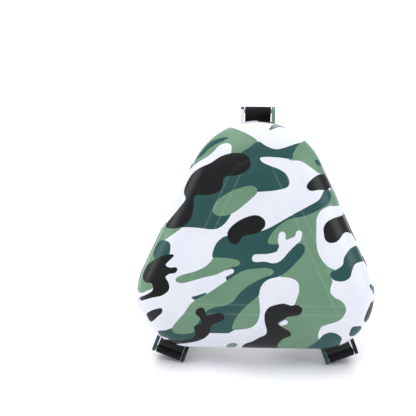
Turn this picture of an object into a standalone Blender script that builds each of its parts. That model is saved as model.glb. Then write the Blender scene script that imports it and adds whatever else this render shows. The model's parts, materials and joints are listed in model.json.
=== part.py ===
"""A strap-on training bumper: a hard moulded shell, a padded liner and a webbing harness.

The pad's own frame has X to the right, Y out of its back and Z up its face, with the rim of
the shell in the plane Y = 0. Each ear bar has a frame too, with X along the bar and Z towards
the pad. The whole pad leans back, and stands on its two lower ears and the bends of its straps.
"""
import math

import bmesh
import bpy
from mathutils import Vector

# Shell, measured at the rim
SHELL_WIDTH = 0.232
SHELL_HEIGHT = 0.222
SHELL_DEPTH = 0.043
TOP_RADIUS = 0.069
FOOT_RADIUS = 0.054
WALL = 0.0024
LIP_HEIGHT = 0.0026
LIP_STEP = 0.001
SIDE_HEIGHT = 0.012
SIDE_DRAFT = 0.0008
EDGE_INSET = 0.030
CROWN_RISE = 0.0053
CROWN_START = math.radians(81)
CROWN_OFFSET_END = 0.050
CROWN_REACH = 0.088
RIB_INSETS = (0.038, 0.047)
RIB_WIDTH = 0.0016
RIB_DROP = 0.007
FACE_MIDDLE = 0.4       # of the height, where the rings of the face close in
FACE_SHARES = (0.35, 0.7, 0.98)
BOSS_RADIUS = 0.006
BOSS_INSET = 0.055
LEAN = math.radians(18)

# Strap ears and webbing
EAR_REACH = 0.0094
CHEEK_WIDTH = 0.0034
BAR_RADIUS = 0.0022
WEB_WIDTH = 0.025
WEB_THICK = 0.0016
WEB_SLACK = 0.0008
PINCH_RADIUS = 0.004
PINCH_REACH = 0.011
GAP = 0.0003

# Liner
LINER_INSET = 0.0055
LINER_BACK = 0.006
COVER_THICK = 0.0012
COVER_TURN = 0.0025
PIPING_RADIUS = 0.0014
FOAM_FRONT = 0.013
DOT_RADIUS = 0.010
DOT_THICK = 0.0012

# Harness
YOKE_SPREAD = 0.019     # from the middle to where each strap meets the yoke ring
YOKE_DROP = 0.052       # from the top of the shell down to there
YOKE_BACK = 0.024
YOKE_HEIGHT = 0.033
YOKE_CORNER = 0.005
BUCKLE_RISE = 0.068     # of the female half's bar above the ear's bar
BEND_BACK = 0.056
BEND_RADIUS = 0.0243
SEWN_LENGTH = 0.019
TAIL_GAP = 0.004

# Side-release buckle, measured along the strap from the female half's bar
BUCKLE_RAIL = 0.0034
BUCKLE_THICK = 0.0105
BUCKLE_CORNER = 0.0026
FEMALE_START = 0.0075
FEMALE_END = 0.034
FEMALE_WALL = 0.0027
WINDOW_START = 0.0155
WINDOW_END = 0.0255
MALE_THICK = 0.009
MALE_SHOULDER = 0.0107
TONGUE_WIDTH = 0.005
ARM_THICK = 0.0042
ARM_PIVOT_X = 0.0105
ARM_PIVOT_DEPTH = 0.0065
ARM_ROOT_RADIUS = 0.002
ARM_SWING = math.radians(11)
ARM_DEPTH = 0.0032
BLOCK_EASE = 0.001
LADDER_STEP = 0.009
LADDER_SLOT = 0.0045
KEEPER_HEIGHT = 0.010
KEEPER_WALL = 0.0012
KEEPER_CORNER = 0.0006
KEEPER_REACH = 0.0165

ARC_STEP = math.radians(11.5)
LINE_STEP = 0.026

# What follows from the sizes above
CHEEK_RADIUS = BAR_RADIUS + GAP + WEB_THICK
LOOP_RADIUS = BAR_RADIUS + GAP + WEB_THICK / 2
LAYER_PITCH = WEB_THICK + GAP
SLOT_HALF = WEB_WIDTH / 2 + WEB_SLACK
CHEEK_OUTER = SLOT_HALF + CHEEK_WIDTH
BUCKLE_WIDTH = 2 * (SLOT_HALF + BUCKLE_RAIL)
BAR_BACK = -CHEEK_RADIUS
EDGE_RISE = SHELL_DEPTH - SIDE_HEIGHT - CROWN_RISE
FOOT_X = SHELL_WIDTH / 2 - FOOT_RADIUS
TOP_Z = SHELL_HEIGHT - TOP_RADIUS
SIDE_NORMAL = (math.atan2(FOOT_X, TOP_Z - FOOT_RADIUS)
               - math.asin((TOP_RADIUS - FOOT_RADIUS) / math.hypot(FOOT_X, TOP_Z - FOOT_RADIUS)))
# Each strap runs from the yoke ring over the middle of a foot corner to that corner's ear
EAR_TILT = math.atan2(FOOT_X - YOKE_SPREAD, SHELL_HEIGHT - YOKE_DROP - FOOT_RADIUS)
EAR_X = FOOT_X + math.sin(EAR_TILT) * (FOOT_RADIUS + EAR_REACH)
EAR_Z = FOOT_RADIUS - math.cos(EAR_TILT) * (FOOT_RADIUS + EAR_REACH)
# Which way a strap hangs in an ear's frame, as its (Y, Z) slope under gravity
HANG = Vector((math.sin(LEAN), -math.cos(EAR_TILT) * math.cos(LEAN)))
HANG_ANGLE = math.atan2(HANG.x, -HANG.y)
YOKE_BAR = Vector((YOKE_BACK - BAR_BACK, (EAR_X - YOKE_SPREAD) / math.sin(EAR_TILT)))
STRAP_LENGTH = (YOKE_BAR.y - BUCKLE_RISE) / math.cos(HANG_ANGLE)
FEMALE_BAR = YOKE_BAR + STRAP_LENGTH * HANG.normalized()
MALE_START = FEMALE_END + GAP
LADDER_START = MALE_START + MALE_SHOULDER
LADDER_BAR = LADDER_START + LADDER_SLOT + BAR_RADIUS
OUTER_BAR = LADDER_BAR + LADDER_STEP
ARM_PIVOT_Z = MALE_START + ARM_PIVOT_DEPTH
SEWN_START = STRAP_LENGTH - PINCH_REACH - SEWN_LENGTH
TAIL_LENGTH = SEWN_START - TAIL_GAP - OUTER_BAR

PLASTIC = ("black_plastic", (0.012, 0.012, 0.013), 0.45)
WEBBING = ("black_webbing", (0.010, 0.010, 0.011), 0.9)
PRINT = ("camouflage_print", (0.33, 0.43, 0.37), 0.3)
FOAM = ("foam", (0.05, 0.055, 0.055), 0.85)
LINING = ("lining_fabric", (0.02, 0.022, 0.023), 0.9)
HOOK = ("hook_and_loop", (0.015, 0.015, 0.016), 0.95)


def clear_scene():
    for item in list(bpy.data.objects):
        bpy.data.objects.remove(item, do_unlink=True)


def material(finish):
    name, colour, roughness = finish
    surface = bpy.data.materials.get(name)
    if surface is None:
        surface = bpy.data.materials.new(name)
        surface.use_nodes = True
        shader = surface.node_tree.nodes["Principled BSDF"]
        shader.inputs["Base Color"].default_value = (*colour, 1)
        shader.inputs["Roughness"].default_value = roughness
        surface.diffuse_color = (*colour, 1)
    return surface


def empty(name, parent, location=(0, 0, 0), rotation=(0, 0, 0)):
    holder = bpy.data.objects.new(name, None)
    holder.location = location
    holder.rotation_euler = rotation
    holder.parent = parent
    bpy.context.scene.collection.objects.link(holder)
    return holder


def solid(name, rings, finish, parent, closed=False):
    """Joins equal rings of points into one body, closed on itself or with two end caps."""
    shape = bmesh.new()
    loops = [[shape.verts.new(point) for point in ring] for ring in rings]
    pairs = list(zip(loops, loops[1:]))
    if closed:
        pairs.append((loops[-1], loops[0]))
    else:
        shape.faces.new(loops[0])
        shape.faces.new(loops[-1])
    for first, second in pairs:
        for k in range(len(first)):
            shape.faces.new((first[k - 1], first[k], second[k], second[k - 1]))
    bmesh.ops.recalc_face_normals(shape, faces=shape.faces[:])
    mesh = bpy.data.meshes.new(name)
    shape.to_mesh(mesh)
    shape.free()
    mesh.shade_smooth()
    mesh.set_sharp_from_angle(angle=math.radians(35))
    mesh.materials.append(material(finish))
    body = bpy.data.objects.new(name, mesh)
    body.parent = parent
    bpy.context.scene.collection.objects.link(body)
    return body


def boolean(body, operation, tools):
    """Adds the tools to the body, or takes them from it, and hides them."""
    group = bpy.data.collections.new(f"{body.name}_{operation.lower()}")
    bpy.context.scene.collection.children.link(group)
    for tool in tools:
        bpy.context.scene.collection.objects.unlink(tool)
        group.objects.link(tool)
        tool.hide_render = True
        tool.display_type = "WIRE"
    modifier = body.modifiers.new(operation.lower(), "BOOLEAN")
    modifier.operation = operation
    modifier.solver = "EXACT"
    modifier.operand_type = "COLLECTION"
    modifier.collection = group


def prism(name, profile, low, high, axis, finish, parent):
    """Extrudes a flat profile from low to high along X, Y or Z."""
    place = {"X": lambda a, b, h: (h, a, b),
             "Y": lambda a, b, h: (a, h, b),
             "Z": lambda a, b, h: (a, b, h)}
    rings = [[place[axis](a, b, height) for a, b in profile] for height in (low, high)]
    return solid(name, rings, finish, parent)


def arc(centre, radius, start, end, step=ARC_STEP):
    """Points on an arc, both ends included."""
    count = max(1, math.ceil(abs(end - start) / step - 0.01))
    angles = (start + (end - start) * k / count for k in range(count + 1))
    return [Vector((centre[0] + radius * math.cos(a), centre[1] + radius * math.sin(a)))
            for a in angles]


def disc(centre, radius, step=math.radians(22.5)):
    return arc(centre, radius, 0, math.tau, step)[:-1]


def rounded_box(half_x, half_y, radius, step=math.radians(30)):
    """A rectangle about the origin with round corners."""
    points = []
    for turn, (side_x, side_y) in enumerate(((1, 1), (-1, 1), (-1, -1), (1, -1))):
        centre = (side_x * (half_x - radius), side_y * (half_y - radius))
        points += arc(centre, radius, turn * math.pi / 2, (turn + 1) * math.pi / 2, step)
    return points


def outline(inset):
    """The shell's rounded triangle moved in by inset, as (x, z) points."""
    corners = ((FOOT_X, FOOT_RADIUS, FOOT_RADIUS, -math.pi / 2, SIDE_NORMAL),
               (0, TOP_Z, TOP_RADIUS, SIDE_NORMAL, math.pi - SIDE_NORMAL),
               (-FOOT_X, FOOT_RADIUS, FOOT_RADIUS, math.pi - SIDE_NORMAL, 1.5 * math.pi))
    arcs = [arc((x, z), radius - inset, start, end) for x, z, radius, start, end in corners]
    full = (SHELL_WIDTH - 2 * FOOT_RADIUS, math.hypot(FOOT_X, TOP_Z - FOOT_RADIUS))
    points = []
    for k, bend in enumerate(arcs):
        points += bend
        following = arcs[(k + 1) % len(arcs)][0]
        steps = round(full[0 if k == 2 else 1] / LINE_STEP)
        points += [bend[-1].lerp(following, j / steps) for j in range(1, steps)]
    return points


def face_ring(inset, depth):
    """One ring of the shell at an inset and a depth in front of the rim."""
    if inset <= CROWN_OFFSET_END:
        return [(x, -depth, z) for x, z in outline(inset)]
    scale = (CROWN_REACH - inset) / (CROWN_REACH - CROWN_OFFSET_END)
    middle = SHELL_HEIGHT * FACE_MIDDLE
    return [(x * scale, -depth, middle + (z - middle) * scale)
            for x, z in outline(CROWN_OFFSET_END)]


def crown_depth(inset):
    """How deep the face of the shell is at an inset, where the edge has ended."""
    start = LIP_STEP + SIDE_DRAFT + EDGE_INSET * (1 - math.cos(CROWN_START))
    share = (CROWN_REACH - inset) / (CROWN_REACH - start)
    edge = SIDE_HEIGHT + EDGE_RISE * math.sin(CROWN_START)
    return edge + (SHELL_DEPTH - edge) * (1 - share ** 2)


def shell_skin(offset, edge_steps):
    """Insets and depths from the lip to the middle of the face, on a skin offset inwards."""
    skin = [(LIP_STEP + SIDE_DRAFT + offset, SIDE_HEIGHT)]
    for k in range(1, edge_steps + 1):
        turn = CROWN_START * k / edge_steps
        inset = LIP_STEP + SIDE_DRAFT + EDGE_INSET - (EDGE_INSET - offset) * math.cos(turn)
        skin.append((inset, SIDE_HEIGHT + (EDGE_RISE - offset) * math.sin(turn)))
    last = skin[-1][0]
    for share in FACE_SHARES:
        inset = last + (CROWN_REACH - last) * share
        skin.append((inset, crown_depth(inset) - offset))
    return skin


def shell(pad, ears):
    outer = [(0, 0), (0, LIP_HEIGHT), (LIP_STEP, LIP_HEIGHT + LIP_STEP / 2)] + shell_skin(0, 6)
    inner = [(LIP_STEP + WALL, 0)] + shell_skin(WALL, 5)
    rings = [face_ring(*spot) for spot in inner[::-1] + outer]
    body = solid("shell", rings, PRINT, pad)
    extras = rib_loops(pad) + bosses(pad)
    for name, (frame, radius) in ears.items():
        extras += ear(name, frame, radius)
    boolean(body, "UNION", extras)


def rib_loops(pad):
    """Stiffening ribs behind the face, each a wall that follows the outline."""
    ribs = []
    for number, inset in enumerate(RIB_INSETS, 1):
        root = crown_depth(inset) - WALL / 2
        inner, outer = inset + RIB_WIDTH / 2, inset - RIB_WIDTH / 2
        spots = ((outer, root), (inner, root), (inner, root - RIB_DROP), (outer, root - RIB_DROP))
        rings = [face_ring(*spot) for spot in spots]
        ribs.append(solid(f"rib_{number}", rings, PRINT, pad, closed=True))
    return ribs


def boss_places():
    """Where the liner is fastened, one place by each corner."""
    drop = BOSS_INSET - FOOT_RADIUS
    return {"top": (0, TOP_Z - drop),
            "left": (drop - FOOT_X, FOOT_RADIUS),
            "right": (FOOT_X - drop, FOOT_RADIUS)}


def bosses(pad):
    """Posts inside the shell that carry the liner's fasteners."""
    near, far = crown_depth(BOSS_INSET - BOSS_RADIUS), crown_depth(BOSS_INSET + BOSS_RADIUS)
    root = (near + far - WALL) / 2
    end = FOAM_FRONT + 2 * DOT_THICK + 3 * GAP
    return [prism(f"boss_{name}", disc(place, BOSS_RADIUS), -root, -end, "Y", PRINT, pad)
            for name, place in boss_places().items()]


def ear(name, frame, corner_radius):
    """Two cheeks and a bar, in the ear's own frame."""
    sag = corner_radius - math.sqrt(corner_radius ** 2 - CHEEK_OUTER ** 2)
    root = EAR_REACH + sag + LIP_STEP + WALL / 3
    cheek = arc((0, 0), CHEEK_RADIUS, math.pi, math.tau, math.radians(22.5))
    cheek += [Vector((CHEEK_RADIUS, root)), Vector((-CHEEK_RADIUS, root))]
    pieces = [prism(f"ear_bar_{name}", disc((0, 0), BAR_RADIUS), -SLOT_HALF - CHEEK_WIDTH / 2,
                    SLOT_HALF + CHEEK_WIDTH / 2, "X", PRINT, frame)]
    for side in (-1, 1):
        low, high = sorted((side * SLOT_HALF, side * CHEEK_OUTER))
        pieces.append(prism(f"cheek_{name}_{side}", cheek, low, high, "X", PRINT, frame))
    return pieces


def tangent(first, second):
    """The straight run between two turns, each a centre and a radius, positive if it turns left."""
    (start, turn_a), (end, turn_b) = first, second
    span = end - start
    heading = math.atan2(span.y, span.x) - math.asin((turn_b - turn_a) / span.length)
    normal = Vector((-math.sin(heading), math.cos(heading)))
    return start - normal * turn_a, end - normal * turn_b, heading


def route(turns, closed=False):
    """The line of a strap that runs straight from turn to turn."""
    pairs = list(zip(turns, turns[1:] + turns[:1] if closed else turns[1:]))
    runs = [tangent(first, second) for first, second in pairs]
    points = [] if closed else [runs[0][0]]
    arrivals = runs if closed else runs[:-1]
    for k, run in enumerate(arrivals):
        centre, turn = pairs[k][1]
        following = runs[(k + 1) % len(runs)]
        sweep = (following[2] - run[2]) % math.tau
        if turn < 0:
            sweep -= math.tau
        sweep = 0 if abs(abs(sweep) - math.tau) < 1e-6 else sweep
        start = math.atan2(*(run[1] - centre).yx)
        points += arc(centre, abs(turn), start, start + sweep, math.radians(24))
    if not closed:
        points.append(runs[-1][1])
    return points


def band(points, closed):
    """The rectangular section of the webbing at each point of its line."""
    rings = []
    count = len(points)
    for k, point in enumerate(points):
        before = points[k - 1] if closed or k else None
        after = points[(k + 1) % count] if closed or k < count - 1 else None
        into = (point - before).normalized() if before else (after - point).normalized()
        away = (after - point).normalized() if after else into
        middle = (into + away).normalized()
        reach = WEB_THICK / 2 / max(0.5, middle.dot(into))
        side = Vector((-middle.y, middle.x)) * reach
        corners = ((-1, point - side), (1, point - side), (1, point + side), (-1, point + side))
        rings.append([(x * WEB_WIDTH / 2, spot.x, spot.y) for x, spot in corners])
    return rings


def webbing(name, turns, parent, closed=False):
    points = route(turns, closed)
    spaced = [point for k, point in enumerate(points) if (point - points[k - 1]).length > 1e-5]
    return solid(name, band(spaced, closed), WEBBING, parent, closed)


def sewn_belt(line):
    """The turns of a doubled strap sewn round a bar at both ends of a centre line."""
    half = LAYER_PITCH / 2
    clear = half + PINCH_RADIUS
    start, end = line[0][0], line[-1][0]
    out, back = tangent(line[0], line[1])[2], tangent(line[-2], line[-1])[2]
    ahead = Vector((math.cos(out), math.sin(out)))
    behind = Vector((math.cos(back), math.sin(back)))
    right_out, right_back = Vector((ahead.y, -ahead.x)), Vector((behind.y, -behind.x))
    near, far = start + ahead * PINCH_REACH, end - behind * PINCH_REACH
    forward = [(centre, turn + half) for centre, turn in line[1:-1]]
    return [(start, LOOP_RADIUS), (near + right_out * clear, -PINCH_RADIUS), *forward,
            (far + right_back * clear, -PINCH_RADIUS), (end, LOOP_RADIUS),
            (far - right_back * clear, -PINCH_RADIUS),
            *[(centre, -(turn - 2 * half)) for centre, turn in forward[::-1]],
            (near - right_out * clear, -PINCH_RADIUS)]


def liner(pad):
    """A foam block in a fabric cup, with piping along its edge."""
    skin = LINER_INSET + COVER_THICK
    foam_inset, foam_back = skin + GAP, LINER_BACK - COVER_THICK - GAP
    foam = ((foam_inset, FOAM_FRONT), (foam_inset, COVER_TURN - foam_back),
            (foam_inset + COVER_TURN, -foam_back))
    solid("liner_foam", [face_ring(*spot) for spot in foam], FOAM, pad)
    inner_back = LINER_BACK - COVER_THICK
    hem = FOAM_FRONT - COVER_THICK
    cover = ((skin + COVER_TURN, -inner_back), (skin, COVER_TURN - inner_back), (skin, hem),
             (LINER_INSET, hem), (LINER_INSET, COVER_TURN - LINER_BACK),
             (LINER_INSET + COVER_TURN, -LINER_BACK))
    solid("liner_cover", [face_ring(*spot) for spot in cover], LINING, pad)
    centre = LINER_INSET - GAP - PIPING_RADIUS
    height = GAP + PIPING_RADIUS
    spots = [(centre + PIPING_RADIUS * math.cos(a), -height + PIPING_RADIUS * math.sin(a))
             for a in (k * math.tau / 6 for k in range(6))]
    solid("liner_piping", [face_ring(*spot) for spot in spots], LINING, pad, closed=True)


def fasteners(pad):
    """Hook dots on the shell's posts and loop dots on the liner, face to face."""
    loop_front = FOAM_FRONT + GAP
    hook_front = loop_front + DOT_THICK + GAP
    for name, place in boss_places().items():
        for kind, start in (("loop_dot", loop_front), ("hook_dot", hook_front)):
            prism(f"{kind}_{name}", disc(place, DOT_RADIUS), -start, -start - DOT_THICK, "Y",
                  HOOK, pad)


def yoke_corners():
    """The corners of the yoke ring as (x, z) with the length that each is rounded by."""
    along = Vector((math.cos(EAR_TILT), math.sin(EAR_TILT)))
    foot = Vector((YOKE_SPREAD, SHELL_HEIGHT - YOKE_DROP))
    right = [(foot - along * (SLOT_HALF + WEB_SLACK), WEB_SLACK),
             (foot + along * (SLOT_HALF + YOKE_CORNER), YOKE_CORNER),
             (Vector((SLOT_HALF + YOKE_CORNER, foot.y + YOKE_HEIGHT)), YOKE_CORNER)]
    return right + [(Vector((-corner.x, corner.y)), cut) for corner, cut in right[::-1]]


def yoke_ring(pad):
    """A round rod bent into a ring, with a straight stretch for each of the three straps."""
    corners = yoke_corners()
    path = []
    for k, (corner, cut) in enumerate(corners):
        into = (corner - corners[k - 1][0]).normalized()
        away = (corners[(k + 1) % len(corners)][0] - corner).normalized()
        low, high = corner - into * cut, corner + away * cut
        for share in (0, 0.5, 1):
            path.append(low.lerp(corner, share).lerp(corner.lerp(high, share), share))
    rings = []
    for k, point in enumerate(path):
        ahead = (path[(k + 1) % len(path)] - path[k - 1]).normalized()
        side = Vector((ahead.y, -ahead.x))
        ring = []
        for turn in (j * math.tau / 10 for j in range(10)):
            spot = point + side * BAR_RADIUS * math.cos(turn)
            ring.append((spot.x, YOKE_BACK + BAR_RADIUS * math.sin(turn), spot.y))
        rings.append(ring)
    solid("yoke_ring", rings, PLASTIC, pad, closed=True)


def top_loop(pad):
    start = Vector((BAR_BACK, SHELL_HEIGHT + EAR_REACH))
    end = Vector((YOKE_BACK, SHELL_HEIGHT - YOKE_DROP + YOKE_HEIGHT))
    webbing("top_loop", sewn_belt([(start, 0), (end, 0)]), pad, closed=True)


def bottom_loop(side, frame):
    """A doubled strap from the ear back along the floor and up to the buckle."""
    reach = BEND_RADIUS + LAYER_PITCH / 2 + WEB_THICK / 2
    tilt = math.sin(EAR_TILT) * math.cos(LEAN)
    floor = -CHEEK_RADIUS * HANG.length - CHEEK_OUTER * tilt
    rise = floor + reach * HANG.length + WEB_WIDTH / 2 * tilt + BEND_BACK * HANG.x
    bend = Vector((BEND_BACK, rise / -HANG.y))
    line = [(Vector((0, 0)), 0), (bend, BEND_RADIUS), (FEMALE_BAR, 0)]
    webbing(f"bottom_loop_{side}", sewn_belt(line), frame, closed=True)


def strap_turns():
    """The turns of the upper strap in the strap's frame, from its tail to its sewn end."""
    half = LAYER_PITCH / 2
    clear = half + PINCH_RADIUS
    pinch = STRAP_LENGTH - PINCH_REACH
    outer, ladder = Vector((0, OUTER_BAR)), Vector((0, LADDER_BAR))
    load = (outer, LOOP_RADIUS + LAYER_PITCH)
    guide = (Vector((clear, SEWN_START)), -PINCH_RADIUS)
    leave, _, heading = tangent(load, guide)
    ahead = Vector((math.cos(heading), math.sin(heading)))
    tail_line = leave - Vector((ahead.y, -ahead.x)) * LAYER_PITCH
    turns = [(tail_line + ahead * TAIL_LENGTH, 0), (outer, -LOOP_RADIUS), (ladder, LOOP_RADIUS),
             load, guide,
             (Vector((clear, pinch)), -PINCH_RADIUS), (Vector((0, STRAP_LENGTH)), LOOP_RADIUS),
             (Vector((-clear, pinch)), -PINCH_RADIUS), (Vector((-half, SEWN_START)), 0)]
    return turns, tail_line.lerp(leave, 0.5), ahead


def rails(name, start, end, line):
    """The two side rails of a buckle half, round at the end that holds a bar."""
    turn = math.pi if end < start else 0
    foot = [Vector((-BAR_RADIUS, start)), Vector((BAR_RADIUS, start))]
    profile = arc((0, end), BAR_RADIUS + GAP, turn, turn + math.pi, math.radians(30))
    profile += foot[::-1] if end < start else foot
    pieces = []
    for side in (-1, 1):
        inner, outer = sorted((side * SLOT_HALF, side * (BUCKLE_WIDTH / 2 - GAP)))
        pieces.append(prism(f"{name}_{side}", profile, inner, outer, "X", PLASTIC, line))
    return pieces


def cross_bar(name, height, line):
    reach = SLOT_HALF + (BUCKLE_WIDTH / 2 - SLOT_HALF) / 2
    return prism(name, disc((0, height), BAR_RADIUS), -reach, reach, "X", PLASTIC, line)


def block(name, half_x, half_y, corner, spans, line):
    """A rounded bar along the strap, from (height, inset) pairs."""
    rings = [[(x, y, height) for x, y in rounded_box(half_x - inset, half_y - inset, corner)]
             for height, inset in spans]
    return solid(name, rings, PLASTIC, line)


def box(name, low, high, line):
    """A plain box, used to cut with."""
    profile = ((low[0], low[1]), (high[0], low[1]), (high[0], high[1]), (low[0], high[1]))
    return prism(name, profile, low[2], high[2], "Z", PLASTIC, line)


def female_half(side, line):
    half_x, half_y, ease = BUCKLE_WIDTH / 2, BUCKLE_THICK / 2, BLOCK_EASE
    spans = ((FEMALE_START, ease), (FEMALE_START + ease, 0),
             (FEMALE_END - ease, 0), (FEMALE_END, ease / 2))
    body = block(f"buckle_female_{side}", half_x, half_y, BUCKLE_CORNER, spans, line)
    parts = rails(f"female_rail_{side}", FEMALE_START + ease, 0, line)
    boolean(body, "UNION", parts + [cross_bar(f"female_bar_{side}", 0, line)])
    room_x, room_y = half_x - FEMALE_WALL, ARM_THICK / 2 + 2 * GAP
    floor = FEMALE_START + FEMALE_WALL
    pocket = box(f"pocket_{side}", (-room_x, -room_y, floor),
                 (room_x, room_y, FEMALE_END + ease), line)
    window = box(f"window_{side}", (-half_x - ease, -room_y, WINDOW_START),
                 (half_x + ease, room_y, WINDOW_END), line)
    boolean(body, "DIFFERENCE", [pocket, window])


def male_half(side, line):
    half_x, half_y, ease = BUCKLE_WIDTH / 2, MALE_THICK / 2, BLOCK_EASE
    spans = ((MALE_START, ease / 2), (MALE_START + ease, 0),
             (LADDER_START - ease, 0), (LADDER_START, ease))
    body = block(f"buckle_male_{side}", half_x, half_y, BUCKLE_CORNER, spans, line)
    tip = FEMALE_START + FEMALE_WALL + 2 * ease
    tongue_spans = ((tip, 2 * GAP), (tip + 2 * ease, GAP), (MALE_START + ease, GAP))
    tongue = block(f"tongue_{side}", TONGUE_WIDTH / 2 + ease, TONGUE_WIDTH / 2, TONGUE_WIDTH / 5,
                   tongue_spans, line)
    parts = rails(f"male_rail_{side}", LADDER_START - ease, OUTER_BAR, line)
    parts += [cross_bar(f"ladder_bar_{side}", LADDER_BAR, line),
              cross_bar(f"outer_bar_{side}", OUTER_BAR, line)]
    boolean(body, "UNION", [tongue] + parts)
    swing = ARM_PIVOT_DEPTH * math.tan(ARM_SWING)
    slots = []
    for hand in (-1, 1):
        edges = (ARM_PIVOT_X - ARM_ROOT_RADIUS - swing - GAP, ARM_PIVOT_X + ARM_ROOT_RADIUS + GAP)
        low, high = sorted(hand * edge for edge in edges)
        slots.append(box(f"arm_slot_{side}_{hand}", (low, -ARM_THICK / 2 - GAP, MALE_START - ease),
                         (high, ARM_THICK / 2 + GAP, ARM_PIVOT_Z + ARM_ROOT_RADIUS + GAP), line))
    boolean(body, "DIFFERENCE", slots)


def arm_profile():
    """One spring arm from its root down to its tip, with the push tab on its outer side."""
    reach = BUCKLE_WIDTH / 2
    wall = reach - FEMALE_WALL
    slim = wall - ARM_DEPTH
    root = arc((ARM_PIVOT_X, ARM_PIVOT_Z), ARM_ROOT_RADIUS, 0, math.pi, math.radians(36))
    low, high = WINDOW_START + GAP, WINDOW_END - GAP
    inner = [(ARM_PIVOT_X - 0.0012, MALE_START), (slim - 0.0004, high), (slim, low + 0.002),
             (slim + 0.0006, low - 0.0013)]
    tab = [(wall - 0.0008, low - 0.0013), (wall - 0.0002, low), (reach - 0.0002, low + 0.0022),
           (reach + 0.0003, low + 0.0046), (reach - 0.0001, high - 0.0016), (reach - 0.0009, high),
           (wall - 0.0006, high), (wall - 0.0018, high + 0.0022), (ARM_PIVOT_X + 0.0016, MALE_START)]
    return root + [Vector(spot) for spot in inner + tab]


def buckle_arms(side, line):
    """The two arms that snap into the windows, each turning about its root."""
    outward = 1 if side == "right" else -1
    for hand in (-1, 1):
        place = "outer" if hand == outward else "inner"
        pivot = empty(f"arm_pivot_{side}_{place}", line, (hand * ARM_PIVOT_X, 0, ARM_PIVOT_Z))
        profile = [(hand * (x - ARM_PIVOT_X), z - ARM_PIVOT_Z) for x, z in arm_profile()]
        prism(f"buckle_arm_{side}_{place}", profile, -ARM_THICK / 2, ARM_THICK / 2, "Y", PLASTIC, pivot)


def keeper(side, line, middle, ahead):
    """An elastic loop that holds the tail against the strap."""
    spot = middle + ahead * KEEPER_REACH
    turn = math.atan2(-ahead.x, ahead.y)
    holder = empty(f"keeper_line_{side}", line, (0, spot.x, spot.y), (turn, 0, 0))
    half_x, half_y = WEB_WIDTH / 2 + 2 * GAP, LAYER_PITCH / 2 + WEB_THICK / 2 + 2 * GAP
    sections = ((0, -1), (KEEPER_WALL, -1), (KEEPER_WALL, 1), (0, 1))
    rings = [[(x, y, level * KEEPER_HEIGHT / 2) for x, y in
              rounded_box(half_x + grow, half_y + grow, KEEPER_CORNER + grow)]
             for grow, level in sections]
    solid(f"tail_keeper_{side}", rings, WEBBING, holder, closed=True)


def harness_side(side, frame):
    bottom_loop(side, frame)
    line = empty(f"strap_line_{side}", frame, (0, FEMALE_BAR.x, FEMALE_BAR.y), (HANG_ANGLE, 0, 0))
    female_half(side, line)
    male_half(side, line)
    buckle_arms(side, line)
    turns, middle, ahead = strap_turns()
    webbing(f"upper_strap_{side}", turns, line)
    keeper(side, line, middle, ahead)


def stand_on_origin(pad):
    """Moves the pad so that the origin is under its middle, on the surface that it stands on."""
    bpy.context.view_layer.update()
    graph = bpy.context.evaluated_depsgraph_get()
    spots = []
    for item in bpy.context.scene.objects:
        if item.type == "MESH" and not item.hide_render:
            shown = item.evaluated_get(graph)
            spots += [shown.matrix_world @ vertex.co for vertex in shown.data.vertices]
    middle = [(min(spot[k] for spot in spots) + max(spot[k] for spot in spots)) / 2 for k in (0, 1)]
    pad.location = (-middle[0], -middle[1], -min(spot.z for spot in spots))


def main():
    clear_scene()
    pad = empty("pad", None, rotation=(-LEAN, 0, 0))
    top = empty("ear_top", pad, (0, BAR_BACK, SHELL_HEIGHT + EAR_REACH), (0, math.pi, 0))
    ears = {"top": (top, TOP_RADIUS)}
    for side, sign in (("left", -1), ("right", 1)):
        place = (sign * EAR_X, BAR_BACK, EAR_Z)
        ears[side] = (empty(f"ear_{side}", pad, place, (0, -sign * EAR_TILT, 0)), FOOT_RADIUS)
    shell(pad, ears)
    liner(pad)
    fasteners(pad)
    yoke_ring(pad)
    top_loop(pad)
    for side in ("left", "right"):
        harness_side(side, ears[side][0])
    stand_on_origin(pad)


main()
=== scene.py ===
"""Looks of a training bumper: a printed moulded shell, a quilted liner and a webbing harness.

Everything is built in the pad's own frame, with X to the right, Y out of the back and Z up
the face, and moved from there to where the pad stands. Lengths are in metres.
"""
import json
import math

import bmesh
import bpy
import numpy as np
from mathutils import Matrix, Vector


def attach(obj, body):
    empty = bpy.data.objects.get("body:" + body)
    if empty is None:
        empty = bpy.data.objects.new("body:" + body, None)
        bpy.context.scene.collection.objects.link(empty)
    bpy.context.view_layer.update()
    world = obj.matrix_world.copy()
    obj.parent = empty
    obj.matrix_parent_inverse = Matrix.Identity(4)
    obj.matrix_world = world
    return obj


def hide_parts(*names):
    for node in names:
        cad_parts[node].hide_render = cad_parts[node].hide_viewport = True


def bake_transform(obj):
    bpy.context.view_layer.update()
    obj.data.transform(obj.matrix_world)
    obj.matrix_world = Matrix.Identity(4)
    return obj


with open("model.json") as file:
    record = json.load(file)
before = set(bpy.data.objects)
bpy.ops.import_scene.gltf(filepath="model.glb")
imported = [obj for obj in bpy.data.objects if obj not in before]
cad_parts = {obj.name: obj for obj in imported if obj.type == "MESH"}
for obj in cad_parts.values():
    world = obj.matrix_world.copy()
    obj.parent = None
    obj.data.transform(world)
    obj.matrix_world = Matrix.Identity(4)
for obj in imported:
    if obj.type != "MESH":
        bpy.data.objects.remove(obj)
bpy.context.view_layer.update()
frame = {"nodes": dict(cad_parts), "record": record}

# Sizes of the part
SHELL_WIDTH, SHELL_HEIGHT, SHELL_DEPTH = 0.232, 0.222, 0.043
TOP_RADIUS, FOOT_RADIUS = 0.069, 0.054
WALL, LIP_HEIGHT, LIP_STEP = 0.0024, 0.0026, 0.001
SIDE_HEIGHT, SIDE_DRAFT, EDGE_INSET = 0.012, 0.0008, 0.030
CROWN_RISE, CROWN_START = 0.0053, math.radians(81)
CROWN_OFFSET_END, CROWN_REACH = 0.050, 0.088
RIB_INSETS = (0.038, 0.047)
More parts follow.
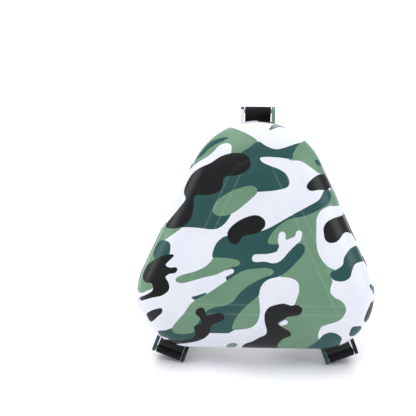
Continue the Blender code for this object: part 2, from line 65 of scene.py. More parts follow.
LEAN = math.radians(18)
EAR_REACH, CHEEK_WIDTH, BAR_RADIUS = 0.0094, 0.0034, 0.0022
WEB_WIDTH, WEB_THICK, WEB_SLACK, GAP = 0.025, 0.0016, 0.0008, 0.0003
PINCH_RADIUS, PINCH_REACH = 0.004, 0.011
LINER_INSET, LINER_BACK, COVER_THICK, PIPING_RADIUS = 0.0055, 0.006, 0.0012, 0.0014
FOAM_FRONT = 0.013
YOKE_SPREAD, YOKE_DROP, YOKE_BACK, YOKE_HEIGHT, YOKE_CORNER = 0.019, 0.052, 0.024, 0.033, 0.005
BUCKLE_RISE, BEND_BACK, BEND_RADIUS = 0.068, 0.056, 0.0243
SEWN_LENGTH, TAIL_GAP = 0.019, 0.004
FEMALE_END, MALE_SHOULDER, LADDER_STEP, LADDER_SLOT = 0.034, 0.0107, 0.009, 0.0045

# What follows from them
CHEEK_RADIUS = BAR_RADIUS + GAP + WEB_THICK
LOOP_RADIUS = BAR_RADIUS + GAP + WEB_THICK / 2
LAYER_PITCH = WEB_THICK + GAP
SLOT_HALF = WEB_WIDTH / 2 + WEB_SLACK
CHEEK_OUTER = SLOT_HALF + CHEEK_WIDTH
BAR_BACK = -CHEEK_RADIUS
EDGE_RISE = SHELL_DEPTH - SIDE_HEIGHT - CROWN_RISE
FOOT_X = SHELL_WIDTH / 2 - FOOT_RADIUS
TOP_Z = SHELL_HEIGHT - TOP_RADIUS
SIDE_NORMAL = (math.atan2(FOOT_X, TOP_Z - FOOT_RADIUS)
               - math.asin((TOP_RADIUS - FOOT_RADIUS) / math.hypot(FOOT_X, TOP_Z - FOOT_RADIUS)))
EAR_TILT = math.atan2(FOOT_X - YOKE_SPREAD, SHELL_HEIGHT - YOKE_DROP - FOOT_RADIUS)
EAR_X = FOOT_X + math.sin(EAR_TILT) * (FOOT_RADIUS + EAR_REACH)
EAR_Z = FOOT_RADIUS - math.cos(EAR_TILT) * (FOOT_RADIUS + EAR_REACH)
HANG = Vector((math.sin(LEAN), -math.cos(EAR_TILT) * math.cos(LEAN)))
HANG_ANGLE = math.atan2(HANG.x, -HANG.y)
YOKE_BAR = Vector((YOKE_BACK - BAR_BACK, (EAR_X - YOKE_SPREAD) / math.sin(EAR_TILT)))
STRAP_LENGTH = (YOKE_BAR.y - BUCKLE_RISE) / math.cos(HANG_ANGLE)
FEMALE_BAR = YOKE_BAR + STRAP_LENGTH * HANG.normalized()
LADDER_BAR = FEMALE_END + GAP + MALE_SHOULDER + LADDER_SLOT + BAR_RADIUS
OUTER_BAR = LADDER_BAR + LADDER_STEP
SEWN_START = STRAP_LENGTH - PINCH_REACH - SEWN_LENGTH
TAIL_LENGTH = SEWN_START - TAIL_GAP - OUTER_BAR

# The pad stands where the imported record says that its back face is
BACK_HEIGHT = 0.095
BACK = next(m for m in frame["record"]["mounts"] if m["name"] == "wearer_face")
PAD = (Matrix.Translation(BACK["pos_m"]) @ Matrix.Rotation(-LEAN, 4, "X")
       @ Matrix.Translation((0, -LINER_BACK, -BACK_HEIGHT)))


def ear_frame(name):
    """Where an ear's bar is: X along the bar, Y out of the back and Z from the bar into the shell."""
    if name == "top":
        return PAD @ Matrix.Translation((0, BAR_BACK, SHELL_HEIGHT + EAR_REACH)) @ Matrix.Rotation(math.pi, 4, "Y")
    sign = -1 if name == "left" else 1
    return (PAD @ Matrix.Translation((sign * EAR_X, BAR_BACK, EAR_Z))
            @ Matrix.Rotation(-sign * EAR_TILT, 4, "Y"))


def strap_frame(side):
    """Where the female half's bar is: X along the bar and Z up the strap."""
    return (ear_frame(side) @ Matrix.Translation((0, FEMALE_BAR.x, FEMALE_BAR.y))
            @ Matrix.Rotation(HANG_ANGLE, 4, "X"))


# ---------------------------------------------------------------- materials

class Graph:
    """A short way to write a node material."""

    def __init__(self, name, roughness, **sockets):
        self.material = bpy.data.materials.new(name)
        self.material.use_nodes = True
        self.tree = self.material.node_tree
        self.shader = self.tree.nodes["Principled BSDF"]
        self.shader.inputs["Roughness"].default_value = roughness
        for socket, value in sockets.items():
            self.shader.inputs[socket.replace("_", " ")].default_value = value

    def node(self, kind, inputs=(), **settings):
        node = self.tree.nodes.new(kind)
        for key, value in settings.items():
            setattr(node, key, value)
        for key, value in dict(inputs).items():
            self.put(value, node.inputs[key])
        return node

    def put(self, value, socket):
        if isinstance(value, bpy.types.NodeSocket):
            self.tree.links.new(value, socket)
        else:
            socket.default_value = value

    def attribute(self, name, socket="Fac"):
        return self.node("ShaderNodeAttribute", attribute_name=name).outputs[socket]

    def place(self):
        return self.node("ShaderNodeTexCoord").outputs["Object"]

    def noise(self, scale, detail=2.0, rough=0.5):
        inputs = {"Scale": scale, "Detail": detail, "Roughness": rough, "Vector": self.place()}
        return self.node("ShaderNodeTexNoise", inputs).outputs["Fac"]

    def cells(self, scale):
        inputs = {"Scale": scale, "Vector": self.place()}
        return self.node("ShaderNodeTexVoronoi", inputs).outputs["Distance"]

    def math(self, operation, a, b=0.5, c=0.0):
        return self.node("ShaderNodeMath", {0: a, 1: b, 2: c}, operation=operation).outputs[0]

    def times(self, a, b):
        return self.math("MULTIPLY", a, b)

    def ramp(self, value, low, high, to_low=0.0, to_high=1.0):
        inputs = {"Value": value, "From Min": low, "From Max": high, "To Min": to_low, "To Max": to_high}
        return self.node("ShaderNodeMapRange", inputs).outputs["Result"]

    def mix(self, share, first, second):
        node = self.node("ShaderNodeMix", {0: share, 6: first, 7: second}, data_type="RGBA")
        return node.outputs[2]

    def colour(self, value):
        self.put(value, self.shader.inputs["Base Color"])

    def rough(self, value):
        self.put(value, self.shader.inputs["Roughness"])

    def bump(self, height, distance, strength=1.0, below=None):
        inputs = {"Height": height, "Distance": distance, "Strength": strength}
        if below:
            inputs["Normal"] = below
        normal = self.node("ShaderNodeBump", inputs).outputs["Normal"]
        self.put(normal, self.shader.inputs["Normal"])
        return normal


def srgb(red, green, blue):
    """A display colour of 0 to 255 as linear light."""
    def linear(value):
        value /= 255
        return value / 12.92 if value <= 0.04045 else ((value + 0.055) / 1.055) ** 2.4
    return (linear(red), linear(green), linear(blue), 1)


# The inks in the order they are printed, on a film that is white too. Each drifts to a darker
# tone: white to WHITE_LOW and the others to INK_SHADE of themselves.
WHITE_INK, WHITE_LOW, GREEN_INK = srgb(225, 227, 234), srgb(219, 222, 231), srgb(108, 143, 117)
PRINT_INKS = {"green": GREEN_INK, "teal": srgb(41, 80, 79), "white": WHITE_INK, "leaf": GREEN_INK,
              "black": srgb(23, 23, 24)}
# The last of these is how far the ribs' sink lines are painted towards a lighter colour, a painted highlight
INK_SHADE, INK_EDGE, SINK_FADE, SINK_HIGHLIGHT = 0.9, 0.00012, 0.0004, 0.11


def print_material():
    g = Graph("printed_shell", 0.32, Specular_IOR_Level=0.24)
    mottle = g.noise(38, 3)
    fleck = g.noise(2600, 2)
    colour = g.mix(g.ramp(mottle, 0.35, 0.65), WHITE_INK, WHITE_LOW)
    for layer, ink in PRINT_INKS.items():
        shade = WHITE_LOW if layer == "white" else tuple(c * INK_SHADE for c in ink[:3]) + (1,)
        tone = g.mix(g.ramp(mottle, 0.35, 0.65), ink, shade)
        inside = g.ramp(g.attribute("camo_" + layer), INK_EDGE, -INK_EDGE)
        colour = g.mix(inside, colour, tone)
    # Painted highlight: the ribs' sink lines are drawn a little lighter than the print, for the light that they
    # catch, except on black
    bare = g.ramp(g.attribute("camo_black"), 0, SINK_FADE)
    line = g.times(g.attribute("rib_line"), g.times(bare, SINK_HIGHLIGHT))
    colour = g.mix(line, colour, srgb(205, 218, 210))
    # Handling scuffs on the rim and the ears, and a very fine speckle in the ink
    wear = g.attribute("rim_wear")
    scuffs = g.times(wear, g.ramp(g.noise(420, 4, rough=0.65), 0.56, 0.66))
    colour = g.mix(g.times(scuffs, 0.5), colour, srgb(205, 208, 212))
    colour = g.mix(g.ramp(fleck, 0.62, 0.8, 0, 0.06), colour, srgb(255, 255, 255))
    g.colour(colour)
    smear = g.ramp(g.noise(14, 3), 0.3, 0.7, 0.25, 0.34)
    g.rough(g.math("ADD", smear, g.times(scuffs, 0.25)))
    below = g.bump(g.noise(620, 2), 0.00005, 0.25)
    g.bump(fleck, 0.00001, 0.3, below)
    return g.material


def moulding_material():
    g = Graph("bare_moulding", 0.42)
    g.colour(g.mix(g.ramp(g.noise(60, 3), 0.3, 0.7), srgb(222, 224, 230), srgb(208, 211, 219)))
    g.bump(g.noise(900, 3), 0.00006, 0.4)
    return g.material


def plastic_material():
    g = Graph("grained_black_plastic", 0.42, Specular_IOR_Level=0.45)
    worn = g.ramp(g.noise(140, 4, rough=0.6), 0.55, 0.75)
    g.colour(g.mix(worn, srgb(16, 16, 18), srgb(26, 26, 28)))
    g.rough(g.ramp(g.noise(220, 3), 0.3, 0.7, 0.26, 0.4))
    below = g.bump(g.cells(1900), 0.00005, 0.35)
    g.bump(g.noise(5200, 2), 0.00002, 0.3, below)
    return g.material


# The webbing's colour in the painted shade between its yarn floats, and on the floats' raised middles
WEB_DARK, WEB_LIGHT = srgb(7, 7, 8), srgb(26, 26, 28)


def webbing_material(name, rib, across):
    """Flat woven strap: staggered yarn floats along the strap, from its own lengths across and along, drawn with
    painted light on the floats and painted shade between them.
    """
    g = Graph(name, 0.8, Sheen_Weight=0.03, Sheen_Roughness=0.5, Specular_IOR_Level=0.22)
    weave = g.attribute("weave", "Vector")
    split = g.node("ShaderNodeSeparateXYZ", {0: weave})
    over, along = split.outputs["X"], split.outputs["Y"]
    column = g.math("DIVIDE", over, across)
    # The 100 keeps the modulo's number above zero
    odd = g.times(g.math("MODULO", g.math("FLOOR", g.math("ADD", column, 100.0)), 2.0), 0.5)
    phase = g.math("ADD", g.math("DIVIDE", along, rib * 2), odd)
    float_wave = g.math("SINE", g.times(phase, math.tau))
    ridge = g.math("ABSOLUTE", g.math("SINE", g.times(column, math.pi)))
    height = g.times(ridge, g.ramp(float_wave, -1, 1, 0.45, 1.0))
    fuzz = g.noise(3200, 3, rough=0.7)
    # Painted light and shade: each float is drawn lighter on its raised middle and darker in the grooves, with a
    # random fuzz over it
    shade = g.times(height, g.ramp(fuzz, 0.3, 0.7, 0.75, 1.1))
    g.colour(g.mix(shade, WEB_DARK, WEB_LIGHT))
    g.rough(g.ramp(fuzz, 0.3, 0.7, 0.7, 0.88))
    below = g.bump(height, 0.00022, 0.7)
    g.bump(fuzz, 0.00004, 0.4, below)
    return g.material


def thread_material():
    g = Graph("polyester_thread", 0.5)
    g.colour(g.mix(g.ramp(g.noise(2600, 2), 0.35, 0.65), srgb(52, 52, 56), srgb(86, 86, 91)))
    g.bump(g.noise(4200, 2), 0.00005, 0.6)
    return g.material


MESH_PITCH = 0.0052


def mesh_material():
    """Knitted spacer mesh: rows of small holes, offset like a honeycomb."""
    g = Graph("spacer_mesh", 0.88, Sheen_Weight=0.12, Sheen_Roughness=0.45, Specular_IOR_Level=0.3)
    flat = g.attribute("weave", "Vector")
    split = g.node("ShaderNodeSeparateXYZ", {0: flat})
    waves = [g.math("SINE", g.times(split.outputs[axis], math.tau / MESH_PITCH)) for axis in "XY"]
    holes = g.ramp(g.times(*waves), 0.2, 0.75, 1, 0)
    fuzz = g.noise(2400, 3, rough=0.7)
    body = g.mix(g.ramp(g.noise(45, 3), 0.35, 0.65), srgb(40, 42, 44), srgb(48, 50, 52))
    # Painted light and shade: the yarn is drawn lighter where its fuzz stands up, and the holes near black for the
    # shade inside them
    yarn = g.mix(g.ramp(fuzz, 0.35, 0.7), body, srgb(66, 69, 72))
    g.colour(g.mix(holes, srgb(15, 16, 17), yarn))
    below = g.bump(holes, 0.0004, 0.75)
    g.bump(fuzz, 0.00005, 0.4, below)
    return g.material


def twill_material():
    g = Graph("bound_twill", 0.8, Sheen_Weight=0.1)
    wave = g.node("ShaderNodeTexWave", {"Scale": 420, "Distortion": 0.3, "Vector": g.place()},
                  bands_direction="DIAGONAL").outputs["Fac"]
    fuzz = g.noise(2600, 3)
    # Painted light and shade: the twill's diagonal ribs and fuzz are drawn lighter where they stand up and darker
    # between them
    g.colour(g.mix(g.times(wave, fuzz), srgb(12, 12, 13), srgb(40, 41, 43)))
    below = g.bump(wave, 0.00012, 0.6)
    g.bump(fuzz, 0.00004, 0.4, below)
    return g.material


def foam_material():
    g = Graph("closed_cell_foam", 0.9)
    cell = g.cells(900)
    # Painted shade: each cell is drawn darker in its pit and lighter at its rim
    g.colour(g.mix(g.ramp(cell, 0.1, 0.6), srgb(36, 38, 39), srgb(78, 81, 82)))
    g.bump(cell, 0.0003, 0.6)
    return g.material


def fastener_material(name, hooks):
    g = Graph(name, 0.92, Sheen_Weight=0.0 if hooks else 0.5)
    pile = g.cells(1500) if hooks else g.noise(1900, 5, rough=0.8)
    # Painted shade: the pile is drawn darker where it sinks and lighter where it stands up
    g.colour(g.mix(g.ramp(pile, 0.15, 0.65), srgb(18, 18, 20), srgb(58, 58, 62)))
    g.bump(pile, 0.0004, 0.8)
    return g.material


def floor_material():
    g = Graph("pale_floor", 0.62, Specular_IOR_Level=0.3)
    g.colour(g.mix(g.ramp(g.noise(3, 3), 0.3, 0.7), srgb(246, 246, 249), srgb(249, 249, 251)))
    return g.material


# ---------------------------------------------------------------- mesh helpers

SIDES, CORNERS = ("left", "right"), ("top", "left", "right")
SHARP_ANGLE = math.radians(40)
FACE_CENTRE = 0.4
# Beyond every patch of the print, and further than any distance here
NO_PRINT, FAR_AWAY = 9, 1e9


def linked(name, data):
    """A new object in the scene."""
    thing = bpy.data.objects.new(name, data)
    bpy.context.scene.collection.objects.link(thing)
    return thing


def settle(mesh, clean=False):
    """Turns a mesh's faces outward and shades it smooth; clean also merges what the CAD triangles split."""
    shape = bmesh.new()
    shape.from_mesh(mesh)
    if clean:
        bmesh.ops.remove_doubles(shape, verts=shape.verts[:], dist=1e-6)
        bmesh.ops.dissolve_limit(shape, angle_limit=math.radians(1), verts=shape.verts[:], edges=shape.edges[:])
    bmesh.ops.recalc_face_normals(shape, faces=shape.faces[:])
    shape.to_mesh(mesh)
    shape.free()
    mesh.shade_smooth()
    mesh.set_sharp_from_angle(angle=SHARP_ANGLE)


def make_object(name, points, faces, materials, body, replaced=(), picks=None):
    """A mesh object from points in the world, smooth, riding on its body if it has only one."""
    mesh = bpy.data.meshes.new(name)
    mesh.from_pydata([tuple(p) for p in points], [], [tuple(f) for f in faces])
    for surface in materials:
        mesh.materials.append(surface)
    if picks is not None:
        mesh.polygons.foreach_set("material_index", picks)
    settle(mesh)
    piece = linked(name, mesh)
    if body:
        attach(piece, body)
    if replaced:
        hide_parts(*replaced)
    return piece


def ends_of(total, size, start=0):
    """The two end faces of a run of rings that starts at start and ends at total."""
    return [tuple(range(start, start + size)), tuple(range(total - size, total))]


def ring_faces(count, size, closed=False, start=0):
    """The quads between equal rings of points, numbered ring by ring."""
    faces = []
    for k in range(count if closed else count - 1):
        low, high = start + k * size, start + (k + 1) % count * size
        for j in range(size):
            n = (j + 1) % size
            faces.append((low + j, low + n, high + n, high + j))
    return faces


def toward(angle):
    return Vector((math.cos(angle), math.sin(angle)))


def right_of(way):
    return Vector((way.y, -way.x))


def mitre(into, away):
    """The way to the left at a bend, long enough to keep a line's thickness round it."""
    middle = (into + away).normalized()
    return -right_of(middle) / max(0.5, middle.dot(into))


def set_vector(piece, name, values):
    layer = piece.data.attributes.new(name, "FLOAT_VECTOR", "POINT")
    layer.data.foreach_set("vector", np.asarray(values, np.float32).ravel())


def set_float(piece, name, values):
    layer = piece.data.attributes.new(name, "FLOAT", "POINT")
    layer.data.foreach_set("value", np.asarray(values, np.float32))


def arc(centre, radius, start, end, step):
    """Points along an arc, both ends included."""
    count = max(1, math.ceil(abs(end - start) / step - 0.01))
    angles = (start + (end - start) * k / count for k in range(count + 1))
    return [Vector((centre[0] + radius * math.cos(a), centre[1] + radius * math.sin(a))) for a in angles]


OUTLINE_ARCS = ((FOOT_X, FOOT_RADIUS, FOOT_RADIUS, -math.pi / 2, SIDE_NORMAL, 84),
                (0, TOP_Z, TOP_RADIUS, SIDE_NORMAL, math.pi - SIDE_NORMAL, 88),
                (-FOOT_X, FOOT_RADIUS, FOOT_RADIUS, math.pi - SIDE_NORMAL, 1.5 * math.pi, 84))
SIDE_STEPS, BOTTOM_STEPS = 54, 64


def outline(inset):
    """The rounded triangle moved in by inset, as an array of (x, z), the same count at each inset."""
    bends = []
    for x, z, radius, start, end, steps in OUTLINE_ARCS:
        angles = np.linspace(start, end, steps)
        bends.append(np.stack([x + (radius - inset) * np.cos(angles), z + (radius - inset) * np.sin(angles)], 1))
    points = []
    for k, bend in enumerate(bends):
        following = bends[(k + 1) % 3][0]
        steps = BOTTOM_STEPS if k == 2 else SIDE_STEPS
        shares = (np.arange(1, steps) / steps)[:, None]
        points += [bend, bend[-1] + (following - bend[-1]) * shares]
    return np.concatenate(points)


def face_ring(inset):
    """The ring at that inset: offsets of the outline, and then copies that shrink to the face's centre."""
    if inset <= CROWN_OFFSET_END:
        return outline(inset)
    scale = (CROWN_REACH - inset) / (CROWN_REACH - CROWN_OFFSET_END)
    middle = np.array((0, SHELL_HEIGHT * FACE_CENTRE))
    return middle + (outline(CROWN_OFFSET_END) - middle) * scale


def crown_depth(inset):
    """How far the front of the face stands from the rim's plane at that inset."""
    start = LIP_STEP + SIDE_DRAFT + EDGE_INSET * (1 - math.cos(CROWN_START))
    share = (CROWN_REACH - inset) / (CROWN_REACH - start)
    edge = SIDE_HEIGHT + EDGE_RISE * math.sin(CROWN_START)
    return edge + (SHELL_DEPTH - edge) * (1 - share ** 2)


# ---------------------------------------------------------------- the printed pattern

MM = 0.001
INK_REACH = 0.012
# Closed shapes of each ink, in millimetres across and up the face
GREEN = (
    ((-35, 225), (-25, 215), (-12, 209), (-1, 202), (-5, 197), (-12, 191), (-20, 189), (-28, 189), (-45, 183),
     (-62, 176), (-74, 180), (-62, 198), (-50, 214)),
    ((29, 184), (30, 191), (34, 197), (41, 200.5), (54, 207), (68, 196), (84, 170), (94, 146), (80, 141.5),
     (70, 141), (62, 143), (66, 150), (70, 158), (68, 164), (60, 171), (57, 172), (50, 177), (40, 183)),
    ((9, 108), (10, 113), (13, 119), (21, 125), (30, 130.5), (42, 133), (52, 136.5), (60, 141), (65, 145),
     (71, 142.5), (66, 140), (60, 137), (56, 130), (55.5, 122), (55.5, 112), (56, 104), (58, 96), (63, 88),
     (69, 83), (74, 81), (76, 76), (70, 74), (71.5, 71), (70, 66), (69.5, 60), (74, 55), (80, 52), (84, 47),
     (84.5, 42), (81.5, 36), (76, 32), (68, 29.5), (62, 27), (60, 23), (59, 18), (60, 14), (62, 4), (60, -24),
     (22, -24), (20, 5), (22, 30), (20, 60), (24, 80), (30, 95), (38, 103), (28, 105), (20, 104), (12, 104)),
    ((-70, 120), (-76, 115), (-84, 109), (-90, 104), (-93, 95), (-95, 85), (-98, 74), (-104, 67), (-99, 64),
     (-98, 61), (-104, 58), (-112, 55), (-138, 58), (-130, 92), (-108, 122), (-92, 124), (-80, 121)),
    ((-88, -4), (-72, 1), (-60, -6), (-64, -22), (-90, -24)),
    ((100, 6), (112, 8), (126, 22), (134, 16), (118, -8), (100, -10)),
)
TEAL = (
    ((-28, 204), (-30, 205), (-36, 204), (-42, 202), (-50, 197), (-58, 190), (-76, 186), (-80, 180), (-66, 183),
     (-58, 184), (-52, 188), (-46, 194), (-40, 198), (-33, 201)),
    ((0, 201), (7, 197), (15, 194), (22, 194.5), (32, 198), (40, 200.5), (42, 200.5), (37, 197), (33, 190),
     (31.5, 185), (20, 186), (10, 186.5), (3, 186), (2, 184), (5, 181), (12, 178), (20, 175), (26, 171),
     (29, 166), (29.5, 161), (26, 157.5), (15, 155), (5, 154), (-3, 153), (-8, 148), (-15, 141), (-22, 138),
     (-24, 134), (-27, 128), (-32, 122), (-38, 118.5), (-45, 118), (-55, 119), (-65, 119.5), (-72, 120),
     (-64, 132), (-62, 150), (-50, 155), (-35, 165), (-20, 172), (-14, 178), (-13, 184), (-17, 189), (-8, 195.5)),
    ((63, 156), (66, 158), (69.5, 153), (69.5, 147), (66, 142), (60, 138.5), (52, 134.5), (42, 131), (30, 128.5),
     (22, 123.5), (15, 117), (10, 110), (4, 112), (0, 117), (5, 117.5), (12, 120.5), (20, 125), (30, 131),
     (40, 136.5), (50, 142), (58, 147)),
    ((-41, 91), (-41, 98), (-38, 105), (-33, 110), (-28, 112), (-10, 114), (5, 117.5), (12, 114), (10, 108),
     (12, 105), (22, 104.5), (22, 100), (12, 96), (-2, 95), (-4, 91), (-2, 88), (8, 88.5), (14, 87), (20, 88),
     (25, 92), (30, 98), (36, 104), (41, 106), (45, 102), (43, 95), (36, 87), (29, 80), (22, 75), (14, 72),
     (8, 66), (4, 60), (0, 52), (-7, 44), (-13, 37), (-18, 30), (-21, 20.5), (-35, 19), (-50, 20), (-58, 24),
     (-56, 38), (-48, 45), (-34, 50), (-26, 56), (-24, 65), (-28, 70), (-29, 77), (-30, 86)),
    ((-82, 103), (-86, 106), (-92, 105.5), (-97, 101), (-99, 95), (-97, 88), (-90, 84), (-84, 90), (-82, 96)),
    ((95, 103), (100, 102), (112, 99), (126, 96), (122, 88), (104, 88), (99, 88), (93, 86), (90, 80), (88, 74),
     (82, 70.5), (74, 71), (69, 75), (70, 79), (76, 82), (81, 86), (82, 92), (85, 97), (89, 101)),
    ((109, 67), (114, 64), (130, 66), (132, 54), (114, 56), (111, 60), (108, 64)),
    ((89, 20), (91, 26), (95, 27), (101, 26), (100, 21), (95, 17), (90, 17)),
    ((50, 3), (55, 9), (60, 14), (64, 19), (70, 21.5), (77, 20), (82, 15), (81, 9), (79, -6), (72, -18),
     (58, -14)),
    ((-93, 19), (-86, 20.5), (-78, 23.5), (-70, 21.5), (-60, 21), (-56, 20), (-55, 14), (-62, 9), (-72, 8), (-85, 12),
     (-92, 14)),
    ((10, 212), (14, 218), (20, 221), (30, 222), (26, 217), (20, 215), (14, 213)),
    ((54, 183), (57, 185), (61, 182), (60, 178), (56, 180)),
    ((-61, 54), (-57, 55), (-50, 57.5), (-46, 58.5), (-53, 52), (-58, 51)),
    ((-122, 40), (-132, 44), (-134, 26), (-122, 16), (-112, 22), (-118, 32)),
    ((-34, 232), (-10, 240), (-14, 250), (-44, 244)),
    ((-30, -4), (-8, -8), (6, -18), (-6, -26), (-34, -22), (-40, -10)),
)
WHITE = (
    ((-25, 196), (-27, 198.5), (-31, 199), (-37, 196.5), (-42, 191), (-48, 186), (-55, 182), (-64, 177),
     (-78, 178), (-82, 168), (-70, 160), (-60, 166), (-45, 176), (-34, 184), (-26, 189)),
    ((3, 60), (5, 66), (10, 71), (17, 73.5), (25, 74), (33, 73), (39, 69), (40, 61), (38, 54), (34, 46), (20, 44),
     (10, 30), (8, 20), (-6, 14), (-22, 12), (-28, 16), (-20, 22.5), (-10, 23.5), (-2, 27), (2, 33), (3, 38),
     (4, 45), (3, 55)),
    ((-30, 18), (-38, 19), (-44, 14), (-52, 9), (-60, 6), (-40, 2), (-22, 8), (-20, 18)),
)
# Rounded strokes: across, up and half width
WHITE_STROKES = (
    ((23.5, 113.5, 3.3), (23, 108, 3.6), (25.5, 103, 4.4), (22, 95, 4.2), (14, 91.3, 4), (4, 92.3, 3.1),
     (-1.5, 91, 3)),
    ((39.3, 115, 3), (38, 110, 3.2), (31, 106, 4.0), (25.5, 103, 4.4)),
    ((-23.5, 79, 2.3), (-32, 75.5, 3.2), (-42, 71, 4.2), (-54, 65.5, 6)),
    ((24, 29.2, 1.7), (27.8, 30.8, 2.3)),
)
LEAF = (
    ((-42, 135), (-41, 140), (-37, 146), (-30, 151), (-20, 156), (-10, 159), (-4, 159), (-0.5, 156), (-1, 152),
     (-6, 147), (-14, 140), (-22, 134), (-30, 131), (-38, 131)),
    ((-15.5, 87), (-18, 89.5), (-25, 91), (-33, 91.5), (-40, 91.5), (-43, 88), (-48, 83), (-58, 78), (-70, 74.5),
     (-76, 71), (-75, 67.5), (-68, 67), (-58, 70), (-48, 73), (-38, 75.5), (-30, 79.5), (-24, 82.5), (-18, 84)),
    ((16, 79), (14, 81.5), (8, 82.5), (0, 82), (-8, 81), (-16, 78), (-25, 72), (-35, 65), (-45, 58), (-55, 52.5),
     (-62, 47), (-68, 38), (-74, 31), (-79, 24), (-78, 19), (-72, 17.5), (-64, 18), (-58, 20), (-56, 26),
     (-52, 34), (-46, 41), (-40, 44), (-30, 46), (-22, 50), (-16, 58), (-8, 65), (0, 70), (8, 74), (14, 76)),
    ((3, 50), (2, 56), (-2, 52.5), (-8, 47), (-14, 41), (-19, 34), (-22, 27), (-22, 23), (-15, 23), (-5, 25),
     (1, 30), (3.5, 38), (3.5, 45)),
    ((-28, 3), (-26, 7.5), (-20, 9), (-17, 7), (-19, 4), (-24, 2)),
)
BLACK = (
    ((-7, 178), (-8, 185), (-13, 189), (-20, 190), (-28, 189), (-36, 186), (-45, 180), (-54, 176), (-62, 170),
     (-68, 160), (-70, 152), (-68, 146), (-72, 140), (-80, 130), (-87, 121), (-86, 118), (-80, 117.5), (-70, 120),
     (-63, 127), (-60, 138), (-60, 147), (-57, 150), (-50, 150), (-42, 151), (-35, 155), (-33, 160), (-32, 166),
     (-28, 168), (-20, 169), (-12, 172)),
    ((-28, 114), (-25, 120), (-18, 126), (-10, 130), (-2, 132), (4, 130), (7.5, 126), (7, 121), (3, 117),
     (-2, 114.5), (-10, 113), (-14, 111), (-17, 106), (-21, 104), (-26, 107)),
    ((46, 158), (47, 162), (52, 167), (58, 170.5), (64, 170.5), (70, 168), (78, 172), (84, 164), (72, 159),
     (64, 156), (58, 156), (50, 155)),
    ((62.5, 116), (62.5, 121), (65.5, 126), (72, 129.5), (80, 131.5), (86, 134), (96, 140), (112, 132), (110, 112),
     (92, 114), (86, 116), (82, 115), (78, 110), (74, 107), (68, 106.5), (64, 109.5)),
    ((-78, 93), (-80, 90), (-84, 86), (-86, 83), (-82, 81), (-76, 81.5), (-74.5, 79), (-77, 76), (-82, 75),
     (-86, 72), (-83, 67), (-82, 62), (-84, 58), (-90, 54), (-98, 52), (-106, 49), (-110, 47.5), (-112, 50),
     (-105, 54), (-99, 58), (-98, 62), (-100, 65), (-106, 66), (-109, 70), (-108, 77), (-102, 84), (-95, 89),
     (-88, 92), (-82, 93.5)),
    ((-89, 42), (-92, 42), (-98, 40), (-104, 36), (-104, 33), (-101, 28), (-98, 29), (-93, 34), (-89, 38)),
    ((-52, 44), (-49, 43), (-47.5, 39), (-46, 36), (-40, 38), (-34, 39), (-30, 37), (-30, 33), (-34, 30.5),
     (-40, 28), (-43, 24), (-43, 20), (-48, 14), (-56, 10), (-66, 7.5), (-76, 5), (-80, -4), (-92, -2), (-86, 10),
     (-72, 10.5), (-62, 12.5), (-57, 17), (-58, 22), (-58, 26), (-53, 28), (-51, 30), (-53, 34), (-57, 38),
     (-56, 42)),
    ((43, 45), (43, 41), (40, 38), (35, 37), (30, 36), (27, 34), (22, 31), (22, 28), (27, 25), (32, 22),
     (33.5, 18), (30, 16), (26, 14), (22, 9), (21, 3), (18, -8), (2, -12), (-12, -4), (-13, 3), (-10, 8),
     (-3, 11), (3, 15), (9, 18), (10.5, 22), (9, 28), (8, 34), (8.5, 40), (12, 45), (18, 47.5), (25, 49),
     (30, 48), (33, 47), (38, 48)),
    ((111, 50), (128, 52), (130, 36), (112, 32), (105, 30), (103, 33), (105, 40), (108, 46)),
    ((30, -10), (44, -8), (52, -16), (46, -26), (32, -22)),
    ((6, 224), (20, 234), (22, 246), (6, 250), (0, 236)),
)


def closed_curve(points, steps=4):
    """A smooth closed line through the points."""
    knots = np.array(points, float) * MM
    before, after = np.roll(knots, 1, 0), np.roll(knots, -1, 0)
    beyond = np.roll(knots, -2, 0)
    curve = []
    for t in np.arange(steps) / steps:
        curve.append(0.5 * (2 * knots + (after - before) * t
                            + (2 * before - 5 * knots + 4 * after - beyond) * t ** 2
                            + (3 * knots - before - 3 * after + beyond) * t ** 3))
    return np.stack(curve, 1).reshape(-1, 2)


def patch_distance(points, shape):
    """How far each point is outside a closed shape, negative inside it."""
    curve = closed_curve(shape)
    low, high = curve.min(0) - INK_REACH, curve.max(0) + INK_REACH
    result = np.full(len(points), INK_REACH)
    near = np.nonzero(((points > low) & (points < high)).all(1))[0]
    spots = points[near]
    best = np.full(len(spots), FAR_AWAY)
    inside = np.zeros(len(spots), bool)
    for start, end in zip(curve, np.roll(curve, -1, 0)):
        run = end - start
        away = spots - start
        share = np.clip(away @ run / max(run @ run, 1e-18), 0, 1)
        best = np.minimum(best, ((away - share[:, None] * run) ** 2).sum(1))
        rise = (start[1] > spots[:, 1]) != (end[1] > spots[:, 1])
        slope = run[0] * (spots[:, 1] - start[1]) / (run[1] if run[1] else 1e-12) + start[0]
        inside ^= rise & (spots[:, 0] < slope)
    result[near] = np.where(inside, -1, 1) * np.sqrt(best)
    return result


def stroke_distance(points, knots):
    """The same for a rounded stroke."""
    knots = np.array(knots, float) * MM
    best = np.full(len(points), FAR_AWAY)
    for (ax, az, ar), (bx, bz, br) in zip(knots, knots[1:]):
        run = np.array((bx - ax, bz - az))
        away = points - (ax, az)
        share = np.clip(away @ run / (run @ run), 0, 1)
        gap = np.sqrt(((away - share[:, None] * run) ** 2).sum(1)) - (ar + (br - ar) * share)
        best = np.minimum(best, gap)
    return best


